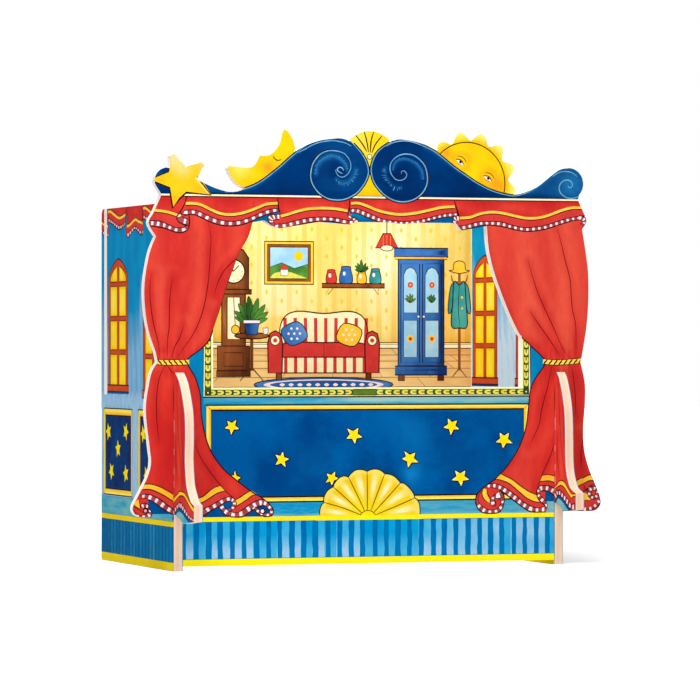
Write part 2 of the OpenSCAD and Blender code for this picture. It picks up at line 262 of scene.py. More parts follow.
faces = {
    "front": {"node": "front_print", "body": "front", "slot": "front_sheet",
        "origin": (0, -77, 0), "across": (1, 0, 0), "out": (0, -1, 0)},
    "leftOuter": {"node": "left_wing_outer_print", "body": "left_wing", "slot": "wing_sheet",
        "origin": (-176, -77, 0), "across": (0, 1, 0), "out": (-1, 0, 0)},
    "leftInner": {"node": "left_wing_inner_print", "body": "left_wing", "slot": "wing_sheet",
        "origin": (-168, -77, 0), "across": (0, 1, 0), "out": (1, 0, 0)},
    "rightInner": {"node": "right_wing_inner_print", "body": "right_wing", "slot": "wing_sheet",
        "origin": (168, -77, 0), "across": (0, 1, 0), "out": (-1, 0, 0)},
    "rightOuter": {"node": "right_wing_outer_print", "body": "right_wing", "slot": "wing_sheet",
        "origin": (176, -77, 0), "across": (0, 1, 0), "out": (1, 0, 0)},
    "backdrop": {"node": "backdrop_print", "body": "backdrop", "slot": "backdrop_sheet",
        "origin": (0, 115, 0), "across": (1, 0, 0), "out": (0, -1, 0)},
}


def area(outline):
    return sum(a[0] * b[1] - b[0] * a[1] for a, b in zip(outline, outline[1:] + outline[:1])) / 2


# The outlines of the printed sheet's face, the outer one first
def contours(face):
    origin, across, out = Vector(face["origin"]), Vector(face["across"]), Vector(face["out"])
    mesh = nodes[face["node"]].data
    flat = {}
    for i, vertex in enumerate(mesh.vertices):
        p = vertex.co * 1000 - origin
        if abs(p.dot(out)) < 0.01:
            flat[i] = (round(p.dot(across), 3), round(p.z, 3))
    sides = {}
    for polygon in mesh.polygons:
        if all(i in flat for i in polygon.vertices):
            ring = [flat[i] for i in polygon.vertices]
            if area(ring) < 0:
                ring.reverse()
            for a, b in zip(ring, ring[1:] + ring[:1]):
                if (b, a) in sides:
                    del sides[b, a]
                else:
                    sides[a, b] = True
    follow = dict(sides.keys())
    loops = []
    while follow:
        start, end = follow.popitem()
        loop = [start]
        while end != start:
            loop.append(end)
            end = follow.pop(end)
        loops.append(loop)
    loops.sort(key=lambda loop: -abs(area(loop)))
    return [loop if area(loop) > 0 else loop[::-1] for loop in loops]


# A curve through all the points
def smooth(points, steps=5, closed=False):
    if len(points) < 3:
        return list(points)
    count = len(points)
    made = []
    for i in range(count if closed else count - 1):
        if closed:
            p = [points[(i + k - 1) % count] for k in range(4)]
        else:
            p = [points[min(max(i + k - 1, 0), count - 1)] for k in range(4)]
        for step in range(steps):
            t = step / steps
            made.append(tuple(0.5 * (2 * p[1][n] + (p[2][n] - p[0][n]) * t
                + (2 * p[0][n] - 5 * p[1][n] + 4 * p[2][n] - p[3][n]) * t * t
                + (3 * p[1][n] - p[0][n] - 3 * p[2][n] + p[3][n]) * t ** 3) for n in (0, 1)))
    if not closed:
        made.append(tuple(points[-1]))
    return made


def lengths(line):
    total = [0.0]
    for a, b in zip(line, line[1:]):
        total.append(total[-1] + math.dist(a, b))
    return total


def along(line, t, total=None):
    total = total or lengths(line)
    want = min(max(t, 0.0), 1.0) * total[-1]
    for i in range(len(line) - 1):
        if total[i + 1] >= want:
            part = (want - total[i]) / ((total[i + 1] - total[i]) or 1)
            return tuple(a + (b - a) * part for a, b in zip(line[i], line[i + 1]))
    return tuple(line[-1])


# Some points along a part of the line
def piece(line, start, end, count=4):
    total = lengths(line)
    return [along(line, start + (end - start) * k / (count - 1), total) for k in range(count)]


# A brush stroke, thinner towards its ends
def stroke(color, line, width=0.8, closed=False, taper=0.55):
    width *= 1.3 if color in ("ink", "brownInk") else 1
    line = [p for i, p in enumerate(line) if i == 0 or math.dist(p, line[i - 1]) > 0.02]
    if closed and math.dist(line[0], line[-1]) < 0.02:
        line.pop()
    count = len(line)
    if count < 2:
        return []
    total = lengths(line)
    rails = []
    for i, p in enumerate(line):
        before = line[i - 1] if (i or closed) else p
        after = line[(i + 1) % count] if (i < count - 1 or closed) else p
        dx, dy = after[0] - before[0], after[1] - before[1]
        size = math.hypot(dx, dy) or 1
        t = total[i] / total[-1]
        half = width / 2 * (1 if closed else 1 - taper * abs(2 * t - 1) ** 3)
        rails.append(((p[0] - dy / size * half, p[1] + dx / size * half),
            (p[0] + dy / size * half, p[1] - dx / size * half)))
    made = []
    for i in range(count if closed else count - 1):
        a, b = rails[i], rails[(i + 1) % count]
        made.append((color, [a[1], b[1], b[0], a[0]]))
    return made


# A brush stroke along the smoothed line through some points
def sweep(color, points, width=0.8, taper=0.55):
    return stroke(color, smooth(points), width, False, taper)


def offset(line, distance):
    made = []
    for i, p in enumerate(line):
        a, b = line[max(i - 1, 0)], line[min(i + 1, len(line) - 1)]
        size = math.dist(a, b) or 1
        made.append((p[0] - (b[1] - a[1]) / size * distance, p[1] + (b[0] - a[0]) / size * distance))
    return made


def outlined(color, points, width=0.7, rounded=True):
    line = smooth(points, 4, True) if rounded else points
    return [(color, line)] + stroke("ink", line, width, True)


def between(color, upper, lower):
    return [(color, list(upper) + list(lower)[::-1])]


def box(color, left, right, low, high):
    return [(color, [(left, low), (right, low), (right, high), (left, high)])]


def nearest(point, line):
    best = (1e9, point)
    for (ax, ay), (bx, by) in zip(line, line[1:]):
        dx, dy = bx - ax, by - ay
        t = min(max(((point[0] - ax) * dx + (point[1] - ay) * dy) / ((dx * dx + dy * dy) or 1), 0), 1)
        spot = (ax + dx * t, ay + dy * t)
        best = min(best, (math.dist(point, spot), spot))
    return best


def near(point, line):
    return nearest(point, line)[0]


# Soft forms for shading: a ridge, a round spot, a step up and a limit

def bump(value, middle, spread, power=2):
    return math.exp(-((value - middle) / spread) ** power)


def blot(x, z, cx, cz, size):
    return math.exp(-((x - cx) ** 2 + (z - cz) ** 2) / size ** 2)


def stepUp(value, middle, spread):
    return 1 / (1 + math.exp((middle - value) / spread))


def clamp(value, low=0.0, high=1.0):
    return min(max(value, low), high)


# The checks between the two lines of a hem
def checks(upper, lower, pitch=6.5, low=0.06, high=0.94, start=0.3):
    size = lengths(upper)[-1]
    count = max(int(size / pitch + 0.5), 1)
    shapes = []
    for i in range(count):
        for color, first, last in (("white", 0.0, 0.35), ("pink", 0.35, 0.44)):
            t0, t1 = (i + start + first) / count, (i + start + last) / count
            if t1 > 1:
                continue
            top = piece(upper, t0, t1, 3)
            feet = [nearest(a, lower)[1] for a in top]
            mix = [[tuple(u + (w - u) * k for u, w in zip(a, b)) for a, b in zip(top, feet)] for k in (low, high)]
            shapes += between(color, mix[0], mix[1])
    return shapes


def oval(centre, radius, count=28, flat=1.0):
    angles = [2 * math.pi * i / count for i in range(count)]
    return [(centre[0] + radius * math.cos(a), centre[1] + radius * flat * math.sin(a)) for a in angles]


def disc(color, *shape):
    return [(color, oval(*shape))]


def starOutline(centre, radius, turn=0.0, inner=0.46, count=5):
    return [(centre[0] + math.sin(turn + math.pi * i / count) * radius * (inner if i % 2 else 1),
        centre[1] + math.cos(turn + math.pi * i / count) * radius * (inner if i % 2 else 1))
        for i in range(2 * count)]


# Which of the spots lie inside the outline
def covers(spots, outline):
    a = np.asarray(outline, float)
    b = np.roll(a, -1, axis=0)
    x, y = spots[:, :1], spots[:, 1:]
    side = (b[:, 0] - a[:, 0]) * (y - a[:, 1]) - (x - a[:, 0]) * (b[:, 1] - a[:, 1])
    up = (a[:, 1] <= y) & (b[:, 1] > y) & (side > 0)
    down = (a[:, 1] > y) & (b[:, 1] <= y) & (side < 0)
    return up.sum(axis=1) != down.sum(axis=1)


# One sheet of raised paint: the shapes lie on the face in their order, and later ones cover earlier ones
def lay(name, faceName, level, shapes, shade=None, spacing=0.0):
    face = faces[faceName]
    origin, across, out = Vector(face["origin"]), Vector(face["across"]), Vector(face["out"])
    if "loops" not in face:
        face["loops"] = contours(face)
    loops = face["loops"]
    points, edges, seen = [], [], {}

    def index(point):
        key = (round(point[0], 3), round(point[1], 3))
        if key not in seen:
            seen[key] = len(points)
            points.append(Vector(key))
        return seen[key]

    for outline in loops + [outline for color, outline in shapes]:
        ring = [index(point) for point in outline]
        edges += [(i, j) for i, j in zip(ring, ring[1:] + ring[:1]) if i != j]
    if spacing:
        xs, ys = [p[0] for c, o in shapes for p in o], [p[1] for c, o in shapes for p in o]
        for x in np.arange(min(xs), max(xs), spacing):
            points += [Vector((x + 0.13 * math.sin(y), y + 0.11 * math.cos(x)))
                for y in np.arange(min(ys), max(ys), spacing)]
    flatPoints, _, triangles = geometry.delaunay_2d_cdt(points, edges, [], 0, 1e-4, False)[:3]
    places = np.array([p[:] for p in flatPoints])
    middles = places[np.array(triangles)].mean(axis=1)
    free = covers(middles, loops[0])
    for hole in loops[1:]:
        free &= ~covers(middles, hole)
    top = np.full(len(middles), -1)
    for i in range(len(shapes) - 1, -1, -1):
        outline = np.array(shapes[i][1])
        low, high = outline.min(axis=0), outline.max(axis=0)
        close = np.nonzero(free & (middles > low).all(axis=1) & (middles < high).all(axis=1))[0]
        hit = close[covers(middles[close], outline)]
        top[hit] = i
        free[hit] = False
    colors = sorted({shapes[i][0] for i in set(top.tolist()) - {-1}})
    bm = bmesh.new()
    shadeLayer = bm.verts.layers.float.new("shade")
    height = 0.02 + 0.018 * level
    made = {}
    for triangle, source in zip(triangles, top):
        if source < 0:
            continue
        corners = []
        for i in triangle:
            if i not in made:
                p = flatPoints[i]
                made[i] = bm.verts.new((origin + across * p.x + Vector((0, 0, p.y)) + out * height) / 1000)
                made[i][shadeLayer] = shade(p.x, p.y) if shade else 0.0
            corners.append(made[i])
        corner = bm.faces.new(corners)
        corner.material_index = colors.index(shapes[source][0])
    moved = bmesh.ops.extrude_face_region(bm, geom=bm.faces[:], use_keep_orig=True)
    bmesh.ops.translate(bm, verts=[v for v in moved["geom"] if isinstance(v, bmesh.types.BMVert)],
        vec=out * -(0.05 + 0.012 * level) / 1000)
    bmesh.ops.recalc_face_normals(bm, faces=bm.faces[:])
    mesh = bpy.data.meshes.new(name)
    bm.to_mesh(mesh)
    bm.free()
    for color in colors:
        mesh.materials.append(paints[color])
    obj = bpy.data.objects.new(name, mesh)
    bpy.context.scene.collection.objects.link(obj)
    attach(obj, face["body"])
    print(name, len(mesh.polygons))
    return obj


# Front board: stripes, strips and the panel with stars

chance = random.Random(7)


def wavy(x, width, low, high, sway=0.35):
    left, right = [], []
    steps = 5
    for i in range(steps + 1):
        h = low + (high - low) * i / steps
        left.append((x - width / 2 + chance.uniform(-sway, sway), h))
        right.append((x + width / 2 + chance.uniform(-sway, sway), h))
    return smooth(left, 3) + smooth(right, 3)[::-1]


def stripes(left, right, low, high, pitch=10.6, wide=(4, 5.4)):
    shapes = []
    x = left
    while x < right:
        light = "stripeMid" if -18 < x < 32 else chance.choice(("stripePale", "stripePale", "stripeMid"))
        shapes.append((light, wavy(x + pitch / 2, pitch * 1.02, low, high, 0.15)))
        shapes.append(("stripeDark", wavy(x + chance.uniform(0.2, 0.3) * pitch, chance.uniform(*wide), low, high)))
        x += pitch
    return shapes


def starShapes(tips, rim="lime"):
    middle = [sum(p[n] for p in tips) / 5 for n in (0, 1)]
    tips = [tuple(m + 1.06 * (p - m) for m, p in zip(middle, tip)) for tip in tips]
    outline = []
    for a, b in zip(tips, tips[1:] + tips[:1]):
        outline += [a, tuple(m + 0.63 * ((p + q) / 2 - m) for m, p, q in zip(middle, a, b))]
    inner = [tuple(m + (0.92 if i % 2 else 0.68) * (p - m) for m, p in zip(middle, point))
        for i, point in enumerate(outline)]
    shapes = [("ink", [(x + 0.6, z - 0.6) for x, z in outline]), (rim, outline), ("starYellow", inner)]
    return shapes + stroke("ink", outline, 1.0, True)


def corners(left, right, low, high):
    return [(left, low), (right, low), (right, high), (left, high)]


def mitredFrame(outer, inner):
    outer, inner = corners(*outer), corners(*inner)
    middle = [tuple((p + q) / 2 for p, q in zip(a, b)) for a, b in zip(outer, inner)]
    shapes = [("frameYellow", outer), ("gold", middle), ("navy", inner)]
    for a, b in zip(outer, inner):
        shapes += stroke("ink", [a, b], 0.6)
    return shapes + stroke("ink", outer, 1.0, True) + stroke("ink", inner, 1.1, True)


panelStars = [
    [(-129, 125.7), (-121, 126.3), (-118.3, 118.4), (-125.5, 113.4), (-131.5, 119.2)],
    [(-79.6, 99.3), (-73.9, 93.2), (-77.3, 86), (-86.3, 88), (-86.4, 96.7)],
    [(-122.1, 83.9), (-116.8, 78), (-118.1, 72.2), (-125.4, 73.1), (-126.7, 79.4)],
    [(-22.2, 118.5), (-12, 118.9), (-8.2, 110.8), (-15.2, 105.1), (-22.9, 109.6)],
    [(-40.7, 80.7), (-32.9, 82.3), (-28.8, 75.8), (-35.7, 70.2), (-41.7, 72.8)],
    [(29.7, 98.9), (39.6, 97.6), (42.5, 89), (33, 84.5), (27.3, 92)],
    [(69.2, 126.7), (77.9, 124.8), (79.8, 117), (72, 111.9), (65.1, 118.6)],
    [(76, 82), (85.4, 82), (89, 73.9), (81.6, 68.3), (72.8, 73.5)],
    [(116.9, 114.1), (125.8, 113.9), (129.1, 104.7), (120.1, 100.3), (113, 105.8)]]
base = {"side": 172, "foot": (2, 10), "stripes": (-169.5, 170, 9.6, 41.4), "rail": (41, 44.9), "lines": (9.9, 41),
    "strips": ((-172, 172, 43, 56.8), (-150, 145.5, 138.5, 152)),
    "frame": (-147.5, 143.7, 57.0, 138.5), "field": (-143.2, 139.4, 61.3, 134.2)}
side = base["side"]
shapes = box("strip", *base["strips"][0]) + box("strip", *base["strips"][1])
shapes += box("yellow", -side, side, *base["foot"]) + stripes(*base["stripes"])
shapes += box("yellow", -side, side, *base["rail"])
for z in base["lines"]:
    shapes += stroke("stripeEdge", [(-side, z), (side, z)], 0.6)
shapes += mitredFrame(base["frame"], base["field"])
for tips in panelStars:
    shapes += starShapes(tips)


def wallShade(x, z):
    if z < 45:
        right = stepUp(x, 85, 14)
        return (right - 1) * clamp((29 - z) / 14, 0, 0.95) - right * (0.62 + 0.2 * math.sin(z * 0.25))
    if z < base["strips"][0][3]:
        return 0.95 - 0.6 * stepUp(x, 0, 20)
    if z > 137.5:
        return 0.7 * bump(z, 139.2, 1) + 0.6 - stepUp(x, -45, 18) - 0.3 * bump(x, -5, 30)
    value = -0.3 * blot(x, z, -67, 132, 9) - 0.35 * blot(x, z, 36, 115, 19) - 0.95 * blot(x, z, 36, 80, 8)
    return value - 0.5 * blot(x, z, 131, 97, 6) + 0.12 * math.sin(x * 0.05 + 1) * math.cos(z * 0.07)


lay("lower_wall_art", "front", 1, shapes, wallShade, 3.5)

# Front board: the frame of leaf links round the stage

stageFrame = {
    "outer": (-150.0, 145.4, 145.2, 200.0), "opening": (-141.5, 137.3, 153.0), "plaque": (-16.8, 4.2),
    "links": ((-141.9, 7.12, 6.3, 0.0), (136.2, -7.58, 6.5, math.pi)), "linkCount": 18,  # start, pitch, size, turn
    "sideLinks": (156.2, 6.6, 6.0), "sideLinkCount": 8,
}
outLeft, outRight, outLow, top = stageFrame["outer"]
left, right, sill = stageFrame["opening"]
lane, laneLeft, laneRight = (outLow + 1.3, sill - 1.6), (outLeft + 1.3, left - 1.7), (right + 1.7, outRight - 1.3)
shapes = box("lime", outLeft, outRight, outLow, top) + box("green", laneLeft[0], laneRight[1], *lane)
shapes += box("green", *laneLeft, lane[0], top) + box("green", *laneRight, lane[0], top)


def link(x, z, size, tall, turn):
    c, s = math.cos(turn), math.sin(turn)

    def put(points):
        return [(x + px * size * c - pz * tall * s, z + px * size * s + pz * tall * c) for px, pz in points]

    leaf = [(-0.5, 0.42), (0.05, 0.5), (0.36, 0.34), (0.5, 0), (0.36, -0.34), (0.05, -0.5), (-0.5, -0.42), (-0.42, 0)]
    outline = smooth(put(leaf), 2, True)
    shapes = [(chance.choice(("leaf", "leaf", "leafGold")), outline)] + stroke("ink", outline, 0.4, True)
    return shapes + stroke("ink", put([(-0.5, 0), (0.04, 0)]), 0.6, taper=0)


midLane = sum(lane) / 2
shapes += box("plaque", *stageFrame["plaque"], *lane)
for i in range(stageFrame["linkCount"]):
    for start, pitch, size, turn in stageFrame["links"]:
        shapes += link(start + pitch * i, midLane, size, lane[1] - lane[0] - 0.4, turn)
start, pitch, size = stageFrame["sideLinks"]
for i in range(stageFrame["sideLinkCount"]):
    for lo, hi in (laneLeft, laneRight):
        shapes += link((lo + hi) / 2, start + pitch * i, size, hi - lo - 0.4, -math.pi / 2)
for lo, hi in (laneLeft, laneRight):
    shapes += box("green", lo, hi, *lane) + stroke("ink", corners(lo, hi, *lane), 0.5, True)
    shapes += disc("ink", ((lo + hi) / 2, midLane), 1.5, 14) + disc("cream", ((lo + hi) / 2, midLane), 0.7, 10)
shapes += stroke("ink", corners(*stageFrame["plaque"], *lane), 0.5, True)
shapes += stroke("ink", [(outLeft, top), (outLeft, outLow), (outRight, outLow), (outRight, top)], 0.95, taper=0)
lay("stage_frame_art", "front", 2, shapes)

# Front board: the shell at the foot of the panel

shell = {"middle": (-2.8, 43), "foot": [(43.9, 41.2), (-46.7, 41.2)], "rail": (-50, 46, 40.9, 44.7)}
lobes = [
    [(-46.7, 45.6), (-46.6, 49.8), (-45.1, 53.9), (-43, 56.1)],
    [(-43.4, 58), (-42.6, 61.6), (-40.1, 65.7), (-37, 68), (-34.7, 69.1)],
    [(-34, 71.3), (-31.7, 74.5), (-28.5, 77.2), (-25.4, 78.2), (-22.8, 78), (-21.1, 77.3)],
    [(-19.1, 79.9), (-15.3, 82.7), (-11.5, 83.6), (-7.7, 83.3), (-4.2, 82)],
    [(-0.7, 83.5), (3.1, 83.9), (6.9, 83.2), (10.1, 81.4), (11.9, 79.7)],
    [(15.2, 79.5), (19, 78.3), (22.8, 75.7), (26.2, 71.9)],
    [(29.2, 71.5), (33.1, 68.7), (36.3, 65.1), (38.2, 62.2), (39.2, 59)],
    [(41.4, 57.4), (43.2, 54.4), (43.9, 50.2), (43.9, 44.8)]]
rays = [[(-43, 56.1), (-26.5, 51.4), (-10, 45.2)], [(-34.7, 69.1), (-21.5, 57.9), (-8.5, 46.3)],
    [(-21.1, 77.3), (-12.6, 61.3), (-6.2, 47.9)], [(-4.2, 82), (-3.9, 66), (-4, 48.8)],
    [(11.7, 79.3), (6.3, 66), (-0.5, 49.1)], [(26.2, 71.9), (14.6, 59.9), (1.7, 46.8)],
    [(39.2, 58.9), (22.3, 52.1), (4.2, 45.2)]]
rim = [p for lobe in lobes for p in smooth(lobe, 4)]
hub = [(-10, 44.6), (-9.4, 46), (-7.4, 47.5), (-4, 48.8), (-0.9, 48.4), (1.7, 47), (3.6, 44.6)]
shapes = [("shell", rim + shell["foot"])]
for ray in rays:
    shapes += sweep("brownInk", ray, 0.6, taper=0.3)
shapes += [("starYellow", hub)] + sweep("brownInk", hub, 0.5, taper=0) + box("yellow", *shell["rail"])
shapes += stroke("ink", rim, 0.75, taper=0.1)


# Angle and reach as seen from the shell's middle
def polar(x, z):
    cx, cz = shell["middle"]
    return math.atan2(max(z - cz, 0.01), cx - x), math.hypot(x - cx, z - cz)


rayAngles = [0.0] + [polar(*ray[0])[0] for ray in rays] + [math.pi]
rimAngles, rimReach = zip(*sorted(polar(*p) for p in rim))


def shellShade(x, z):
    angle, reach = polar(x, z)
    phase, part = np.interp(angle, rayAngles, range(9)) % 1, reach / np.interp(angle, rimAngles, rimReach)
    glow = bump(phase, 0.5, 0.21, 4) * bump(part, 0.66, 0.2)
    value = 0.55 * (1 - bump(phase, 0.5, 0.4, 4)) * min(part * 1.1, 1) * (part < 0.9)
    return value - 0.8 * glow - 0.2 * bump(part, 0.95, 0.04) if z > 45 else 0


lay("shell_art", "front", 3, shapes, shellShade, 1.3)


# Front board: the valance in five drapes, back ones first

valance = {
    4: {
        "braid": [(-18.8, 308.6), (-11.6, 308.8), (-3.5, 306.3), (6.2, 302.7), (19.2, 300.2), (28.9, 299.9),
            (40.3, 301.2), (51.7, 303.6), (63.1, 306.1), (75.4, 307)],
        "top": [(-19.6, 304.4), (-13.2, 304.5), (-6.7, 302.4), (1.4, 299.2), (9.5, 296.3), (19.2, 294.8),
            (28.9, 294.3), (40.3, 295.2), (51.7, 297.7), (61.5, 300), (71.3, 301.8), (78.7, 301.8)],
        "low": [(-19.9, 300.8), (-13.9, 300.3), (-5.1, 297.2), (3, 294.2), (12.7, 291.5), (24.1, 290.4),
            (35.5, 290.9), (45.2, 292.6), (55, 295.2), (64.8, 297.6), (74.6, 298.4), (78.7, 298.4)],
        "left": [(-20.4, 313), (-19.9, 300.8)], "right": [(75, 313), (76.8, 306.5), (78.7, 298.4)],
        "pitch": 5.0,
    },
    1: {
        "braid": [(-199, 300.2), (-195, 300.8), (-190.6, 300.6), (-185.6, 300.1), (-181.3, 299.4), (-177.2, 298.3),
            (-173, 297), (-171.4, 296.8)],
        "top": [(-203, 291.6), (-198.9, 292.2), (-194.3, 292.6), (-189.3, 292.4), (-184.7, 291.1), (-179, 288.6),
            (-174.7, 287), (-171.1, 286.7), (-167.6, 287.2), (-165.8, 288.4)],
        "low": [(-203, 286.6), (-198.9, 287.3), (-194.3, 287.5), (-189.3, 286.7), (-184.7, 286), (-180.4, 284.7),
            (-176.1, 283.2), (-171.8, 282.4), (-168.3, 282.6), (-164.7, 284.2), (-162.6, 287)],
        "left": [(-203, 313), (-203, 286.6)],
        "right": [(-164.8, 313), (-165.9, 308), (-167.7, 304.2), (-170.5, 299.8), (-172.4, 297.5), (-173.5, 294.5),
            (-171.5, 291), (-168, 289.4), (-165.8, 288.4), (-163.6, 288.4), (-162.6, 287)],
    },
    3: {
        "braid": [(-81.6, 297.1), (-76, 298.6), (-65.6, 301.7), (-55.7, 303.7), (-45.4, 304.3), (-35.1, 304.1),
            (-28, 303.3), (-22, 302.3)],
        "top": [(-88, 289.5), (-84.6, 290.7), (-77.8, 291.5), (-66.9, 294.2), (-57.4, 296.3), (-47.1, 297.1),
            (-36.8, 297), (-29.9, 296.1), (-21, 294.6), (-15.5, 294.7)],
        "low": [(-92.6, 292.6), (-91.4, 290), (-88, 287.8), (-83.3, 286.6), (-77.8, 287.3), (-66.9, 289.7),
            (-57.3, 291.8), (-47.1, 293.2), (-36.8, 293.4), (-29.9, 292.2), (-23, 291), (-16.1, 290.7),
            (-12.7, 292.1)],
        "left": [(-84.4, 313), (-83.5, 303.9), (-82.6, 298.8), (-87.4, 298.4), (-91.5, 298), (-93.2, 295.6),
            (-92.6, 292.6)],
        "right": [(-20.4, 313), (-20, 306.9), (-21.3, 301.1), (-20.6, 298), (-16, 295.8), (-12.7, 292.1)],
    },
    2: {
        "braid": [(-165.5, 306.8), (-158.3, 306.9), (-151.9, 305.7), (-144.3, 302.3), (-136.7, 299.2), (-129.1, 298),
            (-120, 298.5), (-110.9, 300.8), (-101.8, 304.2), (-94.1, 307.1), (-84.4, 308)],
        "top": [(-167.6, 299), (-166.2, 301.3), (-159.4, 301.8), (-153.4, 300.5), (-147.3, 297.7), (-136.7, 294),
            (-126.1, 292.7), (-116.9, 293.7), (-107.8, 296.7), (-98.7, 300.6), (-91, 303.3), (-84, 304)],
        "low": [(-169, 298.2), (-166, 296.9), (-163.2, 297.4), (-157.9, 297.5), (-153.3, 295.7), (-144.2, 291.6),
            (-135.1, 289.1), (-126, 288.4), (-116.9, 289.4), (-107.8, 292.5), (-98.7, 296.6), (-91, 299.3),
            (-83.4, 300.8)],
        "left": [(-164.8, 313), (-165.9, 308), (-167.7, 304.2), (-170, 300), (-169, 298.2)],
        "right": [(-84.4, 313), (-83.9, 305.2), (-83.4, 300.8)], "pitch": 7.0,
    },
    5: {
        "braid": [(80.2, 297.3), (89.6, 298.1), (99.3, 301.3), (109, 302.7), (118.7, 302.1), (132, 299.5),
            (140.9, 298), (149.8, 298), (158.7, 299.5), (167.6, 302.5), (176.5, 305.6), (185.5, 307.4), (200, 307.4)],
        "top": [(75.5, 290), (77.8, 290.6), (87.9, 292.2), (96.7, 294.5), (107.2, 295.1), (117.9, 294.8),
            (128.5, 292.1), (139.2, 290.2), (149.8, 290.8), (160.5, 292.6), (171.2, 296), (180.2, 298.7),
            (194.5, 300.9), (204, 301.4)],
        "low": [(73.8, 291.5), (76, 287.7), (81.7, 286.9), (91.4, 289.1), (100.2, 291.3), (110.8, 291.4),
            (121.4, 290), (132.1, 287.7), (141, 286.6), (149.8, 287.1), (160.5, 288.9), (171.2, 292.3),
            (180.2, 294.9), (185.5, 296.4), (194.5, 297.2), (204, 297)],
        "left": [(74.8, 313), (77.2, 306.1), (79.5, 298.7), (76, 299.2), (74.4, 298.6), (73.8, 295), (73.8, 291.5)],
        "right": [(204, 313), (204, 297)], "pitch": 5.4,
    },
}


def drape(part):
    top, low = [(x, z - 0.4) for x, z in smooth(part["top"])], smooth(part["low"])
    left, right = smooth(part["left"], 3), smooth(part["right"], 3)
    braid = smooth(part["braid"])
    shapes = [("curtain", left + low + right[::-1])]
    shapes += between("hem", braid, low)
    shapes += between("mauve", top, low) + checks(top, low, part.get("pitch", 5.9), 0.14, 0.8)
    shapes += stroke("ink", offset(braid, -0.4), 2.3, taper=0) + stroke("braid", braid, 2.2, taper=0)
    shapes += stroke("ink", top, 0.6, taper=0.2) + stroke("ink", low, 0.75, taper=0.2)
    return shapes + stroke("ink", left, 0.7, taper=0.2) + stroke("ink", right, 0.7, taper=0.2)


turnedCorners = (
    ([(-82.6, 298.6), (-87.4, 298.4), (-91.5, 298), (-93.2, 295.6), (-92.3, 292.6), (-89.6, 290.2)],
        [(-83, 294.6), (-86.4, 294.2), (-88, 293.2), (-88, 291.9), (-87.2, 290.9), (-86.2, 290.4)]),
    ([(-20.6, 298.4), (-16.2, 296.6), (-12.9, 295.2), (-12.4, 293), (-14.6, 291.6)],
        [(-22.6, 301), (-20.8, 296.6), (-17.6, 294.8), (-16.6, 293.8), (-17, 292.8)]),
    ([(79.5, 298.9), (76, 299.2), (74.3, 297.8), (73.8, 294.6), (73.8, 291.4), (76, 288.2)],
        [(79, 294.8), (77.6, 294.6), (76.9, 293.4), (76.9, 292.2), (77.2, 291.2), (78.2, 290.4)]),
    ([(190.5, 300.6), (195, 300), (197.6, 297), (196.8, 293.6), (194.2, 291.6)],
        [(190.5, 297), (193, 296.6), (194, 295.6), (193.6, 294.4), (192, 293.6)]),
)
shapes = box("wall", -106.4, 104.7, 286, 312)
for key in (4, 1, 3, 2, 5):
    shapes += drape(valance[key])
    if key == 1:
        fold = smooth([(-173.3, 295.2), (-172.6, 292.6), (-170.2, 290.4), (-166.6, 289.4), (-163.4, 288.6)])
        rise = smooth([(-170.2, 298.6), (-168.6, 296), (-166, 294.4), (-162.4, 293.4)])
        shapes += between("mauve", rise, fold) + checks(rise, fold, 5.4, 0.1, 0.9, 0.1)
        shapes += stroke("ink", fold, 0.6) + stroke("ink", rise, 0.5)
        shapes += sweep("ink", [(-162.6, 287), (-162.2, 292), (-162.8, 297.5)], 0.8)
for edge, inside in turnedCorners:
    rim, fold = smooth(edge), smooth(inside)
    shapes += between("mauve", rim, fold) + checks(rim, fold, 4.6, 0.08, 0.9, 0.1)
    shapes += stroke("ink", rim, 0.7) + stroke("ink", fold, 0.5)


def valanceShade(x, z):
    return 0.55 * bump(z, 312.5, 3.5) + 0.35 * math.sin(x * 0.11) * math.sin(z * 0.3) + 0.8 * stepUp(-z, -299.5, 1)


lay("valance_art", "front", 6, shapes, valanceShade, 3.0)

# Front board: both curtains with their folds, ropes and turned hems

leftFolds = [
    [(-195.5, 248.3), (-196.7, 237.5), (-196.3, 223.2), (-193.5, 206.1), (-189.7, 191.8), (-188, 178)],
    [(-176.5, 245.6), (-178.7, 234.8), (-179.8, 220.5), (-180, 203.3), (-181.6, 191.9), (-181.4, 177.6)],
    [(-145.8, 290.5), (-143.4, 278.3), (-144.1, 266.8), (-144.8, 252.4), (-146.3, 238), (-149.9, 219.3),
        (-155.9, 203.5), (-161.9, 193.4), (-168.4, 184.8), (-173, 177.2)],
    [(-113, 267.9), (-124.4, 258.4), (-132.7, 249.7), (-137.9, 239.5), (-140.2, 230.9)],
    [(-167.2, 204.8), (-170.9, 194.7), (-175.4, 186.6), (-177.6, 177.6)],
    [(-183.6, 171.5), (-188.8, 160.4), (-191, 144.6), (-190.9, 131.7), (-190.1, 118.8), (-188.6, 108.8)],
    [(-181.4, 171.8), (-179.3, 168.5), (-176.6, 165)],
    [(-157.3, 108.7), (-155.4, 101.5), (-149.3, 90), (-137.1, 74.1), (-131.5, 67.8), (-127.2, 63.7), (-123.5, 60.6),
        (-121.3, 57.5), (-120.8, 54.5), (-122.9, 51.5), (-126.1, 50), (-128.2, 47.7), (-128.2, 45)],
]
